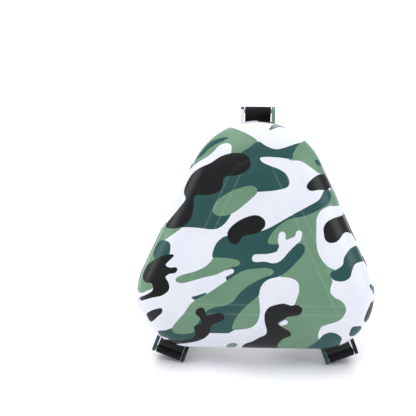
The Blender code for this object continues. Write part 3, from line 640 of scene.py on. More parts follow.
def paint(piece, spots):
    """Writes how far each point is from the edge of each ink."""
    spots = np.asarray(spots)
    for layer, shapes in (("green", GREEN), ("teal", TEAL), ("white", WHITE), ("leaf", LEAF), ("black", BLACK)):
        best = np.full(len(spots), INK_REACH)
        for shape in shapes:
            best = np.minimum(best, patch_distance(spots, shape))
        if layer == "white":
            for knots in WHITE_STROKES:
                best = np.minimum(best, stroke_distance(spots, knots))
        set_float(piece, "camo_" + layer, best)


# ---------------------------------------------------------------- shell

SINK_DEPTH, SINK_WIDTH, RIB_END, RIB_TOP = 0.00012, 0.0005, 0.030, 0.184
RIB_FADE, RIB_TOP_FADE = 0.006, 0.008
UNROLL_FROM = 0.0035
LIP_EASE, EDGE_STEPS, INNER_STEPS = 0.0005, 36, 10
FACE_STEP, RIB_STEP, FACE_END = 0.00105, 0.0005, 0.0022
SETTLE_FROM, SETTLE_PASSES = 0.012, 14
EAR_WEAR = 0.2


def skin_profile():
    """(inset, depth) from the rim to the middle of the face, close enough to look smooth."""
    lip, top = LIP_EASE, LIP_HEIGHT + LIP_STEP
    spots = [(lip, 0), (lip * 0.3, lip * 0.3), (0, lip), (0, LIP_HEIGHT - lip),
             (0.0002, LIP_HEIGHT + 0.0001), (LIP_STEP * 0.6, LIP_HEIGHT + 0.0003),
             (LIP_STEP, LIP_HEIGHT + LIP_STEP / 2), (LIP_STEP + 0.0001, LIP_HEIGHT + LIP_STEP)]
    for share in (0.35, 0.65, 1):
        spots.append((LIP_STEP + SIDE_DRAFT * share, top + (SIDE_HEIGHT - LIP_HEIGHT - LIP_STEP) * share))
    for k in range(1, EDGE_STEPS + 1):
        turn = CROWN_START * k / EDGE_STEPS
        spots.append((LIP_STEP + SIDE_DRAFT + EDGE_INSET * (1 - math.cos(turn)),
                      SIDE_HEIGHT + EDGE_RISE * math.sin(turn)))
    inset = spots[-1][0]
    while inset < CROWN_REACH - FACE_END:
        inset += RIB_STEP if any(abs(inset - rib) < 0.002 for rib in RIB_INSETS) else FACE_STEP
        spots.append((inset, crown_depth(inset)))
    return spots


def pattern_insets(profile):
    """Where each ring lies on the print, unrolled along the skin beyond the edge of the face."""
    spots = np.array(profile)
    lengths = np.hypot(*np.diff(spots, axis=0).T)
    travelled = np.concatenate([np.cumsum(lengths[::-1])[::-1], [0]])
    turn = np.interp(UNROLL_FROM, spots[:, 0], travelled)
    return [inset if inset > UNROLL_FROM else UNROLL_FROM - (far - turn)
            for inset, far in zip(spots[:, 0], travelled)]


def rib_lines(x, z):
    """How strongly a rib behind the face shows at each point: two straight lines along each side."""
    lean = np.array((math.cos(SIDE_NORMAL), math.sin(SIDE_NORMAL)))
    gaps = [TOP_RADIUS - (side * x * lean[0] + (z - TOP_Z) * lean[1]) for side in (1, -1)] + [z]
    shown = np.zeros(np.shape(x))
    for k, gap in enumerate(gaps):
        others = np.minimum(gaps[k - 1], gaps[k - 2])
        fade = np.clip((others - RIB_END) / RIB_FADE, 0, 1) * np.clip((RIB_TOP - z) / RIB_TOP_FADE, 0, 1)
        for rib in RIB_INSETS:
            shown = np.maximum(shown, fade * np.exp(-((gap - rib) / SINK_WIDTH) ** 2))
    return shown


def inner_profile():
    """(inset, depth) of the inside of the shell, from the rim to the middle."""
    spots = [(LIP_STEP + WALL - 0.0004, 0), (LIP_STEP + WALL, 0.0004), (LIP_STEP + SIDE_DRAFT + WALL, SIDE_HEIGHT)]
    for k in range(1, INNER_STEPS + 1):
        turn = CROWN_START * k / INNER_STEPS
        spots.append((LIP_STEP + SIDE_DRAFT + EDGE_INSET - (EDGE_INSET - WALL) * math.cos(turn),
                      SIDE_HEIGHT + (EDGE_RISE - WALL) * math.sin(turn)))
    last = spots[-1][0]
    for share in (0.25, 0.5, 0.75, 0.98):
        inset = last + (CROWN_REACH - last) * share
        spots.append((inset, crown_depth(inset) - WALL))
    return spots


def fan(first, size, tip):
    """Triangles from a ring to a point."""
    return [(first + j, first + (j + 1) % size, tip) for j in range(size)]


def shell_piece(surfaces):
    profile, inner = skin_profile(), inner_profile()
    rings = np.array([face_ring(inset) for inset, _ in profile])
    outer_count, size = rings.shape[:2]
    depths = np.repeat(np.array([depth for _, depth in profile])[:, None], size, 1)
    # Blends the rounded edge into the crown of the face
    settled = next(k for k, (inset, _) in enumerate(profile) if inset > SETTLE_FROM)
    for _ in range(SETTLE_PASSES):
        depths[settled:-1] = (depths[settled - 1:-2] + 2 * depths[settled:-1] + depths[settled + 1:]) / 4
    lines = rib_lines(rings[..., 0], rings[..., 1])
    depths -= SINK_DEPTH * lines
    front = np.stack([rings[..., 0], -depths, rings[..., 1]], 2).reshape(-1, 3)
    back = np.concatenate([np.insert(face_ring(inset), 1, -depth, axis=1) for inset, depth in inner])
    centre = SHELL_HEIGHT * FACE_CENTRE
    tips = np.array([(0, front[-size:, 1].mean(), centre), (0, -SHELL_DEPTH + WALL, centre)])
    all_points = np.concatenate([front, back, tips])
    skin, first_tip = outer_count * size, len(all_points) - 2
    rim = [(j, (j + 1) % size, skin + (j + 1) % size, skin + j) for j in range(size)]
    # 0 is the printed skin and 1 the bare moulding
    groups = [(ring_faces(outer_count, size), 0), (fan(skin - size, size, first_tip), 0), (rim, 1),
              (ring_faces(len(inner), size, start=skin), 1), (fan(first_tip - size, size, first_tip + 1), 1)]
    spots = np.concatenate([*(face_ring(inset) for inset in pattern_insets(profile)),
                            np.full((len(back), 2), NO_PRINT), [(0, centre), (NO_PRINT, NO_PRINT)]])
    wear = np.concatenate([np.repeat([float(depth < LIP_HEIGHT + LIP_STEP) for _, depth in profile], size),
                           np.zeros(len(back) + 2)])
    for name in CORNERS:
        ear_points, ear_faces, ear_spots = ear_mesh(name)
        start = len(all_points)
        groups.append(([tuple(start + i for i in f) for f in ear_faces], 0))
        all_points = np.concatenate([all_points, ear_points])
        spots = np.concatenate([spots, ear_spots])
        wear = np.concatenate([wear, np.full(len(ear_points), EAR_WEAR)])
    every = [f for group, _ in groups for f in group]
    picks = [pick for group, pick in groups for _ in group]
    world = [PAD @ Vector(p) for p in all_points]
    piece = make_object("printed_shell", world, every, surfaces, "pad", ["shell"], picks)
    paint(piece, spots)
    set_float(piece, "rim_wear", wear)
    # How strongly the ribs' sink lines show, which the printed material turns into a painted highlight
    set_float(piece, "rib_line", np.pad(lines.ravel(), (0, len(all_points) - lines.size)))


def rounded_prism(profile, low, high, ease):
    """A flat profile pulled from low to high along X, with eased ends."""
    stations = ((low, ease), (low + ease * 0.3, ease * 0.3), (low + ease, 0), ((low + high) / 2, 0),
                (high - ease, 0), (high - ease * 0.3, ease * 0.3), (high, ease))
    loop = [Vector(p) for p in profile]
    count = len(loop)
    inward = []
    for k, point in enumerate(loop):
        into, away = (point - loop[k - 1]).normalized(), (loop[(k + 1) % count] - point).normalized()
        inward.append(mitre(into, away))
    points = []
    for x, inset in stations:
        points += [(x, *(p + n * inset)) for p, n in zip(loop, inward)]
    return points, ring_faces(len(stations), count) + ends_of(len(points), count)


# Where each cheek takes its ink from, in millimetres across and up the face, and how the ink
# runs on from its bar towards the shell. The bar has the film's white.
EAR_INKS = {("top", "left"): (-16, 193, 1), ("top", "right"): (20, 154, -1), ("left", "left"): (-20, 102, 0),
            ("left", "right"): (-20, 182, 0), ("right", "left"): (-20, 102, 0), ("right", "right"): (-20, 182, 0)}
BAR_INK = (0, 240, 0)
CHEEK_EASE, BAR_EASE = 0.0005, 0.0003


def ear_mesh(name):
    """Two cheeks and a bar, as points of the pad, with where they are on the print."""
    radius = TOP_RADIUS if name == "top" else FOOT_RADIUS
    sag = radius - math.sqrt(radius ** 2 - CHEEK_OUTER ** 2)
    root = EAR_REACH + sag + LIP_STEP + WALL / 3
    cheek = arc((0, 0), CHEEK_RADIUS, math.pi, math.tau, math.radians(9))
    cheek += [Vector((CHEEK_RADIUS, root * s)) for s in (0.35, 0.7, 1)]
    cheek += [Vector((-CHEEK_RADIUS, root * s)) for s in (1, 0.7, 0.35)]
    place = PAD.inverted() @ ear_frame(name)
    points, faces, inks = [], [], []
    parts = [rounded_prism(cheek, *sorted((side * SLOT_HALF, side * CHEEK_OUTER)), CHEEK_EASE) for side in (-1, 1)]
    rod = arc((0, 0), BAR_RADIUS, 0, math.tau, math.radians(18))[:-1]
    parts.append(rounded_prism(rod, -SLOT_HALF - CHEEK_WIDTH / 2, SLOT_HALF + CHEEK_WIDTH / 2, BAR_EASE))
    for hand, (some, quads) in zip(("left", "right", "bar"), parts):
        x, z, run = EAR_INKS.get((name, hand), BAR_INK)
        faces += [tuple(len(points) + i for i in quad) for quad in quads]
        points += [place @ Vector(p) for p in some]
        inks += [(x * MM + p[1], z * MM + run * p[2]) for p in some]
    return np.array(points), faces, np.array(inks)


# ---------------------------------------------------------------- webbing

ROUTE_STEP, ROUTE_TURN = 0.004, math.radians(9)


def tangent(first, second):
    """The straight run between two turns: where it starts and ends, and its heading. A turn is
    (centre, radius), and the radius of a left-hand one is positive."""
    (start, turn_a), (end, turn_b) = first, second
    span = end - start
    heading = math.atan2(span.y, span.x) - math.asin((turn_b - turn_a) / span.length)
    normal = Vector((-math.sin(heading), math.cos(heading)))
    return start - normal * turn_a, end - normal * turn_b, heading


def route(turns, closed=False):
    """The line of a strap that runs straight from turn to turn, in short steps."""
    pairs = list(zip(turns, turns[1:] + turns[:1] if closed else turns[1:]))
    runs = [tangent(first, second) for first, second in pairs]
    points = [] if closed else [runs[0][0]]
    arrivals = runs if closed else runs[:-1]
    for k, run in enumerate(arrivals):
        centre, turn = pairs[k][1]
        following = runs[(k + 1) % len(runs)]
        sweep = (following[2] - run[2]) % math.tau
        if turn < 0:
            sweep -= math.tau
        sweep = 0 if abs(abs(sweep) - math.tau) < 1e-6 else sweep
        start = math.atan2(*(run[1] - centre).yx)
        points += arc(centre, abs(turn), start, start + sweep, ROUTE_TURN)
    if not closed:
        points.append(runs[-1][1])
    count = len(points)
    filled = []
    for k, point in enumerate(points):
        filled.append(point)
        if closed or k < count - 1:
            following = points[(k + 1) % count]
            steps = math.ceil((following - point).length / ROUTE_STEP)
            filled += [point.lerp(following, j / steps) for j in range(1, steps)]
    return [p for k, p in enumerate(filled) if (p - filled[k - 1]).length > 1e-5]


def belt_section():
    """Half width and half thickness around the webbing, with its thin round selvedges."""
    half, thick = WEB_WIDTH / 2, WEB_THICK / 2
    top = [(x * half, thick) for x in (-0.93, -0.85, -0.5, 0, 0.5, 0.85, 0.93)]
    edge = [(half * 0.98, thick * 0.8), (half, 0), (half * 0.98, -thick * 0.8)]
    bottom = [(-x, -y) for x, y in top]
    return top + edge + bottom + [(-x, -y) for x, y in edge]


def webbing_piece(name, turns, place, surface, replaced, body="pad", closed=False):
    """Webbing along a route in the Y and Z of its place, with its own lengths across and along."""
    line = route(turns, closed)
    section = belt_section()
    points, weave = [], []
    count = len(line)
    along = 0
    for k, point in enumerate(line):
        before = line[k - 1] if closed or k else None
        after = line[(k + 1) % count] if closed or k < count - 1 else None
        into = (point - before).normalized() if before else (after - point).normalized()
        away = (after - point).normalized() if after else into
        side = mitre(into, away)
        if before and k:
            along += (point - before).length
        for x, y in section:
            spot = point + side * y
            points.append(place @ Vector((x, spot.x, spot.y)))
            weave.append((x, along, 0))
    size = len(section)
    faces = ring_faces(count, size, closed)
    if not closed:
        faces += ends_of(len(points), size)
    piece = make_object(name, points, faces, [surface], body, [replaced])
    set_vector(piece, "weave", weave)
    return piece


def sewn_belt(line):
    """A closed belt round the bars at both ends of a line of turns, its layers pinched together
    beyond the bars. Gives its turns and, at each end, where the layers meet and the line's way."""
    half = LAYER_PITCH / 2
    clear = half + PINCH_RADIUS
    start, end = line[0][0], line[-1][0]
    out, back = tangent(line[0], line[1])[2], tangent(line[-2], line[-1])[2]
    ahead, behind = toward(out), toward(back)
    right_out, right_back = right_of(ahead), right_of(behind)
    near, far = start + ahead * PINCH_REACH, end - behind * PINCH_REACH
    forward = [(centre, turn + half) for centre, turn in line[1:-1]]
    turns = [(start, LOOP_RADIUS), (near + right_out * clear, -PINCH_RADIUS), *forward,
             (far + right_back * clear, -PINCH_RADIUS), (end, LOOP_RADIUS),
             (far - right_back * clear, -PINCH_RADIUS),
             *[(centre, -(turn - 2 * half)) for centre, turn in forward[::-1]],
             (near - right_out * clear, -PINCH_RADIUS)]
    return turns, (near, ahead), (far, behind)


def strap_turns():
    """A strap from its loose tail, over the outer bar, round the ladder bar, back over the outer bar
    on top of the tail, and up round the yoke ring to its sewn end."""
    half = LAYER_PITCH / 2
    clear = half + PINCH_RADIUS
    pinch = STRAP_LENGTH - PINCH_REACH
    outer, ladder = Vector((0, OUTER_BAR)), Vector((0, LADDER_BAR))
    load = (outer, LOOP_RADIUS + LAYER_PITCH)
    guide = (Vector((clear, SEWN_START)), -PINCH_RADIUS)
    leave, _, heading = tangent(load, guide)
    ahead = toward(heading)
    tail_line = leave - right_of(ahead) * LAYER_PITCH
    return [(tail_line + ahead * TAIL_LENGTH, 0), (outer, -LOOP_RADIUS), (ladder, LOOP_RADIUS), load, guide,
            (Vector((clear, pinch)), -PINCH_RADIUS), (Vector((0, STRAP_LENGTH)), LOOP_RADIUS),
            (Vector((-clear, pinch)), -PINCH_RADIUS), (Vector((-half, SEWN_START)), 0)]


STITCH_PITCH, STITCH_LENGTH, STITCH_RADIUS, STITCH_MARGIN = 0.0026, 0.0021, 0.00022, 0.0028
SEWN_MARGIN, TOP_SEAM, NEAR_SEAM, FAR_SEAM, FAR_SEAM_BACK = 0.002, 0.012, 0.016, 0.004, 0.006
THREAD_SIDES = 6
# Along a stitch, and how far it stands out there, in radii
THREAD_STATIONS = ((0, -0.9), (0.12, 0.0), (0.3, 0.45), (0.7, 0.45), (0.88, 0.0), (1, -0.9))


def stitch_box(length):
    """Stitches of a box with a cross in it, as pairs of (across, along)."""
    half = WEB_WIDTH / 2 - STITCH_MARGIN
    corners = [(-half, 0), (half, 0), (half, length), (-half, length)]
    legs = list(zip(corners, corners[1:] + corners[:1])) + [(corners[0], corners[2]), (corners[1], corners[3])]
    spots = []
    for (ax, ay), (bx, by) in legs:
        run = math.hypot(bx - ax, by - ay)
        count = max(2, round(run / STITCH_PITCH))
        for k in range(count):
            middle = (k + 0.5) / count
            reach = STITCH_LENGTH / 2 / run
            spots.append(tuple((ax + (bx - ax) * s, ay + (by - ay) * s) for s in (middle - reach, middle + reach)))
    return spots


def thread(points, faces, start, end, out, radius=STITCH_RADIUS):
    """One stitch or ridge: a short round bar that dips in at both ends."""
    run = end - start
    side = run.cross(out).normalized()
    first = len(points)
    for share, rise in THREAD_STATIONS:
        middle = start + run * share + out * (rise * radius)
        for turn in (k * math.tau / THREAD_SIDES for k in range(THREAD_SIDES)):
            points.append(middle + (side * math.cos(turn) + out * math.sin(turn)) * radius)
    faces += ring_faces(len(THREAD_STATIONS), THREAD_SIDES, start=first)
    faces += ends_of(len(points), THREAD_SIDES, first)


def stitches(name, patches, body, surface):
    """Boxes of stitches on both faces of sewn webbing: each patch is (place, start, direction, length)."""
    points, faces = [], []
    lift = LAYER_PITCH / 2 + WEB_THICK / 2
    for place, start, ahead, length in patches:
        across = place.to_3x3() @ Vector((1, 0, 0))
        forward = place.to_3x3() @ Vector((0, ahead.x, ahead.y))
        out = across.cross(forward).normalized()
        base = place @ Vector((0, start.x, start.y))
        for hand in (-1, 1):
            for (ax, ay), (bx, by) in stitch_box(length):
                low = base + across * ax + forward * ay + out * hand * lift
                high = base + across * bx + forward * by + out * hand * lift
                thread(points, faces, low, high, out * hand)
    return make_object(name, points, faces, [surface], body)


def lower_bend():
    """The centre of a lower loop's bend, at which the loop's lowest edge is level with the ear's."""
    reach = BEND_RADIUS + LAYER_PITCH / 2 + WEB_THICK / 2
    tilt = math.sin(EAR_TILT) * math.cos(LEAN)
    floor = -CHEEK_RADIUS * HANG.length - CHEEK_OUTER * tilt
    rise = floor + reach * HANG.length + WEB_WIDTH / 2 * tilt + BEND_BACK * HANG.x
    return Vector((BEND_BACK, rise / -HANG.y))


def harness(web, yarn):
    """The webbing and its stitches: the top loop, and a lower loop and a strap on each side."""
    top = Vector((BAR_BACK, SHELL_HEIGHT + EAR_REACH))
    yoke = Vector((YOKE_BACK, SHELL_HEIGHT - YOKE_DROP + YOKE_HEIGHT))
    turns, near, far = sewn_belt([(top, 0), (yoke, 0)])
    webbing_piece("top_loop_webbing", turns, PAD, web, "top_loop", closed=True)
    middle = (far[0] - near[0]).length
    length = min(TOP_SEAM, middle - SEWN_MARGIN)
    patches = [(PAD, near[0] + near[1] * (middle - length) / 2, near[1], length)]
    for side in SIDES:
        place, line = ear_frame(side), strap_frame(side)
        turns, near, far = sewn_belt([(Vector((0, 0)), 0), (lower_bend(), BEND_RADIUS), (FEMALE_BAR, 0)])
        webbing_piece(f"bottom_loop_webbing_{side}", turns, place, web, f"bottom_loop_{side}", closed=True)
        patches.append((place, near[0] + near[1] * SEWN_MARGIN, near[1], NEAR_SEAM))
        patches.append((place, far[0] - far[1] * FAR_SEAM_BACK, far[1], FAR_SEAM))
        strap = webbing_piece(f"upper_strap_webbing_{side}", strap_turns(), line, web, f"upper_strap_{side}", None)
        sewn = (line, Vector((0, SEWN_START + SEWN_MARGIN)), Vector((0, 1)), SEWN_LENGTH - 2 * SEWN_MARGIN)
        # The strap reaches from its buckle half below the tail keeper to the yoke ring at the top, so it and its
        # stitching ride on no body and are left where they are built
        for piece in (strap, stitches(f"strap_stitching_{side}", [sewn], None, yarn)):
            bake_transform(piece)
    stitches("harness_stitching", patches, "pad", yarn)


# ---------------------------------------------------------------- yoke ring

YOKE_SIDES = 20


def yoke_corners():
    """The corners of the yoke ring, each with how far its rounding reaches."""
    along = Vector((math.cos(EAR_TILT), math.sin(EAR_TILT)))
    foot = Vector((YOKE_SPREAD, SHELL_HEIGHT - YOKE_DROP))
    right = [(foot - along * (SLOT_HALF + WEB_SLACK), WEB_SLACK),
             (foot + along * (SLOT_HALF + YOKE_CORNER), YOKE_CORNER),
             (Vector((SLOT_HALF + YOKE_CORNER, foot.y + YOKE_HEIGHT)), YOKE_CORNER)]
    return right + [(Vector((-corner.x, corner.y)), cut) for corner, cut in right[::-1]]


def yoke_piece(surface):
    """The yoke ring as a round rod along its rounded corners."""
    path = []
    corners = yoke_corners()
    for k, (corner, cut) in enumerate(corners):
        into = (corner - corners[k - 1][0]).normalized()
        away = (corners[(k + 1) % len(corners)][0] - corner).normalized()
        low, high = corner - into * cut, corner + away * cut
        for share in (0, 0.17, 0.33, 0.5, 0.67, 0.83, 1):
            path.append(low.lerp(corner, share).lerp(corner.lerp(high, share), share))
    points = []
    for k, point in enumerate(path):
        ahead = (path[(k + 1) % len(path)] - path[k - 1]).normalized()
        side = right_of(ahead)
        for turn in (j * math.tau / YOKE_SIDES for j in range(YOKE_SIDES)):
            flat = side * BAR_RADIUS * math.cos(turn)
            points.append(PAD @ Vector((point.x + flat.x, YOKE_BACK + BAR_RADIUS * math.sin(turn), point.y + flat.y)))
    make_object("yoke_ring_rod", points, ring_faces(len(path), YOKE_SIDES, True), [surface], "pad", ["yoke_ring"])


# ---------------------------------------------------------------- liner

CROWN, SEAM_INSET, SEAM_SINK, SEAM_WIDTH = 0.0050, 0.021, 0.0030, 0.0028
SEAM_CENTRE, SEAM_SHARE, SEAM_PITCH, SEAM_LIFT = 0.41, 0.36, 0.0042, 0.00015
SWELL_NEAR, SWELL_FAR, SWELL_EXTRA = 0.03, 0.07, 0.15
CUSHION_TURN, CUSHION_STEP = 0.0045, 0.0013
PUCKER, PUCKER_REACH, BORDER_REACH = 0.0003, 0.008, 0.006
PIPING_SIDES, PIPING_LUMPS = 14, 150


def seam_lines():
    """The channels sewn into the liner's back: a triangle and a line from each of its corners."""
    corners = [Vector(corner) for corner in ((0, TOP_Z + 0.012), (-FOOT_X + 0.006, FOOT_RADIUS - 0.008),
                                             (FOOT_X - 0.006, FOOT_RADIUS - 0.008))]
    middle = Vector((0, SHELL_HEIGHT * SEAM_CENTRE))
    ring = [middle + (corner - middle) * SEAM_SHARE for corner in corners]
    return list(zip(ring, corners)) + list(zip(ring, ring[1:] + ring[:1]))


def seam_gap(x, z, legs):
    """How far each point is from the nearest channel."""
    best = np.full(np.shape(x), FAR_AWAY)
    for start, end in legs:
        run = end - start
        share = np.clip(((x - start.x) * run.x + (z - start.y) * run.y) / run.length_squared, 0, 1)
        best = np.minimum(best, np.hypot(x - start.x - share * run.x, z - start.y - share * run.y))
    return best


def cushion_height(inset, x, z, legs):
    """How far the liner's back stands out beyond its edge."""
    far = np.maximum(inset - LINER_INSET, 0)
    swell = CROWN * np.sqrt(np.clip(far / SWELL_NEAR, 0, 1)) * (1 + SWELL_EXTRA * np.clip(far / SWELL_FAR, 0, 1))
    border = np.abs(inset - SEAM_INSET)
    dip = SEAM_SINK * (np.exp(-(border / SEAM_WIDTH) ** 2) + np.exp(-(seam_gap(x, z, legs) / SEAM_WIDTH) ** 2))
    return swell - np.minimum(dip, SEAM_SINK * 1.1)


def cushion_profile(start, back, front):
    """(inset, depth) from the flat front round the side to the middle of the back, and where the back starts."""
    spots = [(start + 0.0014, -front), (start + 0.0003, -front + 0.0004), (start, -front + 0.0014)]
    spots += [(start, depth) for depth in np.linspace(-front + 0.004, back - 0.005, 5)]
    spots += [(start + CUSHION_TURN * (1 - math.cos(a)), back - CUSHION_TURN * (1 - math.sin(a)))
              for a in np.linspace(0.2, math.pi / 2 - 0.15, 7)]
    inset, body_start = spots[-1][0], len(spots)
    while inset < CROWN_REACH - FACE_END:
        inset += CUSHION_STEP
        spots.append((inset, back))
    return spots, body_start


def puckers(inset, x, z, legs):
    """Small wrinkles along the channels and round the border seam."""
    close = np.exp(-(seam_gap(x, z, legs) / PUCKER_REACH) ** 2)
    wrinkle = np.sin(x * 410 + z * 130) * np.sin(z * 350 - x * 90) * close
    border = math.exp(-((inset - SEAM_INSET) / BORDER_REACH) ** 2)
    return wrinkle + np.sin(np.arctan2(z - 0.09, x) * 78) * border


def cushion(name, start_inset, back, front, crowned, surface, replaced):
    """A closed cushion with round sides, a flat front and a back that is crowned, or else flat."""
    legs = seam_lines()
    profile, body_start = cushion_profile(start_inset, back, front)
    rings, weave = [], []
    for k, (inset, depth) in enumerate(profile):
        ring = face_ring(inset)
        x, z = ring[:, 0], ring[:, 1]
        rise = np.zeros(len(ring))
        if crowned and k >= body_start - 3:
            share = min(1, max(0, (k - body_start + 4) / 4))
            height = cushion_height(inset - start_inset + LINER_INSET, x, z, legs)
            rise = share * (height + PUCKER * puckers(inset, x, z, legs))
        rings.append(np.stack([x, depth + rise, z], 1))
        # On the side, the weave goes on from the back's edge
        along = max(0, start_inset + CUSHION_TURN - inset) + max(0, back - depth)
        outward = face_ring(max(inset - along, -0.02)) if depth < back else ring
        weave.append(np.insert(outward, 2, 0, axis=1))
    size = len(rings[0])
    tip, heel = rings[-1].mean(0), rings[0].mean(0)
    points = np.concatenate([*rings, [tip, heel]])
    faces = ring_faces(len(rings), size)
    faces += fan((len(rings) - 1) * size, size, len(points) - 2) + fan(0, size, len(points) - 1)
    piece = make_object(name, [PAD @ Vector(p) for p in points], faces, [surface], "pad", [replaced])
    set_vector(piece, "weave", np.concatenate(weave + [[(tip[0], tip[2], 0), (heel[0], heel[2], 0)]]))


def piping_piece(surface):
    """The cord sewn round the liner's edge, its twill cover drawn in between the stitches."""
    centre, height = LINER_INSET - GAP - PIPING_RADIUS, GAP + PIPING_RADIUS
    swell = PIPING_RADIUS * 0.97
    rings = []
    for turn in (k * math.tau / PIPING_SIDES for k in range(PIPING_SIDES)):
        ring = face_ring(centre + swell * math.cos(turn))
        lumps = 0.00008 * np.sin(np.arange(len(ring)) * math.tau / len(ring) * PIPING_LUMPS) * max(0, math.sin(turn))
        rings.append(np.stack([ring[:, 0], height + swell * math.sin(turn) + lumps, ring[:, 1]], 1))
    world = [PAD @ Vector(p) for p in np.concatenate(rings)]
    make_object("liner_piping_cord", world, ring_faces(PIPING_SIDES, len(rings[0]), True), [surface], "pad",
                ["liner_piping"])


def inset_of(x, z):
    """How far a point of the face is inside the outline."""
    spots = outline(0)
    return float(np.hypot(spots[:, 0] - x, spots[:, 1] - z).min())


def seam_stitches(surface):
    """Stitches along the liner's channels and its border seam."""
    legs = seam_lines()
    spots = []
    for start, end in legs:
        count = int((end - start).length / SEAM_PITCH)
        spots += [[start.lerp(end, (k + share) / count) for share in (0.2, 0.8)] for k in range(count)]
    border = face_ring(SEAM_INSET)
    border = np.vstack([border, border[:1]])
    lengths = np.concatenate([[0], np.cumsum(np.hypot(*np.diff(border, axis=0).T))])
    count = int(lengths[-1] / SEAM_PITCH)
    for k in range(count):
        ends = [lengths[-1] * (k + share) / count for share in (0.2, 0.8)]
        spots.append([Vector([np.interp(e, lengths, border[:, axis]) for axis in (0, 1)]) for e in ends])
    points, faces = [], []
    for pair in spots:
        ends = []
        for spot in pair:
            rise = float(cushion_height(*np.array([[inset_of(*spot)], [spot.x], [spot.y]]), legs)[0])
            ends.append(Vector((spot.x, LINER_BACK + rise + SEAM_LIFT, spot.y)))
        thread(points, faces, *ends, Vector((0, 1, 0)))
    make_object("liner_stitching", [PAD @ p for p in points], faces, [surface], "pad")


# ---------------------------------------------------------------- refined CAD pieces

PLASTIC_EASE, ELASTIC_EASE, PATCH_EASE = 0.0003, 0.0004, 0.0002
# Grip ridges: how far the buckle's faces stand out, and how far up the strap each ridge is
RIDGE_RADIUS, RIDGE_HALF = 0.0007, 0.0105
FEMALE_FACE, MALE_FACE = 0.00525, 0.0045
FEMALE_RIDGES, MALE_RIDGES = (0.0112, 0.0131, 0.015, 0.0275, 0.0294), (0.0385, 0.0404)


def refined(node, name, body, surface, width=PLASTIC_EASE):
    """A copy of a CAD node with eased edges."""
    mesh = frame["nodes"][node].data.copy()
    mesh.materials.clear()
    mesh.materials.append(surface)
    settle(mesh, clean=True)
    piece = linked(name, mesh)
    bevel = piece.modifiers.new("eased_edges", "BEVEL")
    bevel.width = width
    bevel.segments = 2
    bevel.limit_method = "ANGLE"
    bevel.angle_limit = math.radians(32)
    bevel.harden_normals = True
    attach(piece, body)
    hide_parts(node)
    return piece


def ridges(name, side, heights, face, body, surface):
    """Grip ridges across both faces of a buckle half."""
    line = strap_frame(side)
    turn = line.to_3x3()
    points, faces = [], []
    for height in heights:
        for hand in (-1, 1):
            ends = [line @ Vector((x, hand * face, height)) for x in (-RIDGE_HALF, RIDGE_HALF)]
            thread(points, faces, *ends, turn @ Vector((0, hand, 0)), RIDGE_RADIUS)
    make_object(name, points, faces, [surface], body)


def hardware(plastic, elastic):
    for side in SIDES:
        male = f"buckle_male_{side}"
        ridges(f"socket_grip_{side}", side, FEMALE_RIDGES, FEMALE_FACE, "pad", plastic)
        ridges(f"plug_grip_{side}", side, MALE_RIDGES, MALE_FACE, male, plastic)
        refined(f"buckle_female_{side}", f"buckle_socket_{side}", "pad", plastic)
        refined(male, f"buckle_plug_{side}", male, plastic)
        for hand in ("inner", "outer"):
            arm = f"buckle_arm_{side}_{hand}"
            refined(arm, f"buckle_prong_{side}_{hand}", arm, plastic)
        loop = f"tail_keeper_{side}"
        keeper = refined(loop, f"elastic_keeper_{side}", loop, elastic, ELASTIC_EASE)
        # The elastic's ribs run round the strap, so its weave is turned
        inverse = strap_frame(side).inverted()
        set_vector(keeper, "weave", [(inverse @ v.co).zxy for v in keeper.data.vertices])


def dots(hook, loop):
    for place in CORNERS:
        refined(f"hook_dot_{place}", f"hook_patch_{place}", "pad", hook, PATCH_EASE)
        refined(f"loop_dot_{place}", f"loop_patch_{place}", "pad", loop, PATCH_EASE)


# ---------------------------------------------------------------- studio

CAMERA_PLACE = (-0.01851, -0.90646, 0.48295)
CAMERA_TURN = (69.678, -0.084, 1.843)
CAMERA_LENS, CAMERA_SENSOR = 86.54, 36
FLOOR_REACH = 12.0
SKY_COLOUR, SKY_STRENGTH = (0.93, 0.95, 1.0, 1), 0.45
LIGHT_AIM = Vector((0, 0, 0.1))
# Name, place, width, power in watts, colour
LIGHTS = (
    ("overhead", (-0.3, -0.3, 3.2), 4, 80, (1, 1, 1)),
    ("far", (0, 3.2, 2.6), 3, 48, (1, 1, 1)),
    ("key", (-0.5, -0.9, 1.5), 1.1, 4, (1, 0.99, 0.98)),
    ("fill", (1.3, -0.35, 0.75), 0.9, 5.8, (0.98, 0.99, 1)),
    ("side", (-1.25, 0.1, 0.6), 0.8, 3.8, (0.98, 0.99, 1)),
    ("back", (0.3, 1.3, 1.1), 1.0, 6, (1, 1, 1)),
)


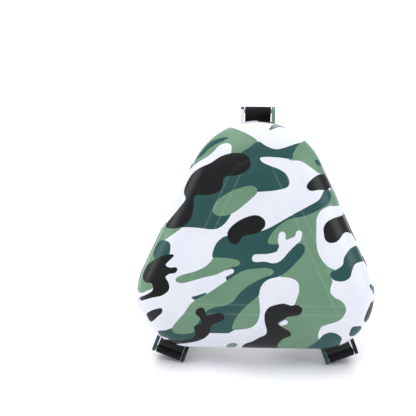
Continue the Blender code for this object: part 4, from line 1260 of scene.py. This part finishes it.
def studio():
    corners = [(x * FLOOR_REACH, y * FLOOR_REACH, 0) for x, y in ((-1, -1), (1, -1), (1, 1), (-1, 1))]
    floor_mesh = bpy.data.meshes.new("studio_floor")
    floor_mesh.from_pydata(corners, [], [(0, 1, 2, 3)])
    floor_mesh.materials.append(floor_material())
    floor = linked("studio_floor", floor_mesh)
    world = bpy.data.worlds.new("studio_world")
    bpy.context.scene.world = world
    world.use_nodes = True
    sky = world.node_tree.nodes["Background"]
    sky.inputs["Color"].default_value = SKY_COLOUR
    sky.inputs["Strength"].default_value = SKY_STRENGTH
    for name, place, size, power, tint in LIGHTS:
        light = bpy.data.lights.new(name, "AREA")
        light.shape = "DISK"
        light.size = size
        light.energy = power
        light.color = tint
        lamp = linked(name, light)
        lamp.location = place
        lamp.rotation_euler = (LIGHT_AIM - Vector(place)).to_track_quat("-Z", "Y").to_euler()
    lens = bpy.data.cameras.new("camera")
    lens.lens = CAMERA_LENS
    lens.sensor_width = CAMERA_SENSOR
    lens.clip_start = 0.01
    camera = linked("camera", lens)
    camera.location = CAMERA_PLACE
    camera.rotation_euler = [math.radians(a) for a in CAMERA_TURN]
    bpy.context.scene.camera = camera
    bpy.context.scene.view_settings.view_transform = "Standard"
    bpy.context.scene.view_settings.look = "None"


def main():
    web, yarn, plastic = webbing_material("woven_webbing", 0.0011, 0.0016), thread_material(), plastic_material()
    lining, twill = mesh_material(), twill_material()
    elastic = webbing_material("ribbed_elastic", 0.0009, 0.0011)
    shell_piece([print_material(), moulding_material()])
    harness(web, yarn)
    yoke_piece(plastic)
    hardware(plastic, elastic)
    cushion("liner_cushion", LINER_INSET, LINER_BACK, FOAM_FRONT, True, lining, "liner_cover")
    cushion("foam_block", LINER_INSET + COVER_THICK + GAP, LINER_BACK - COVER_THICK - GAP, FOAM_FRONT - 0.0005,
            False, foam_material(), "liner_foam")
    piping_piece(twill)
    seam_stitches(yarn)
    dots(fastener_material("hook_tape", True), fastener_material("loop_tape", False))
    studio()


main()
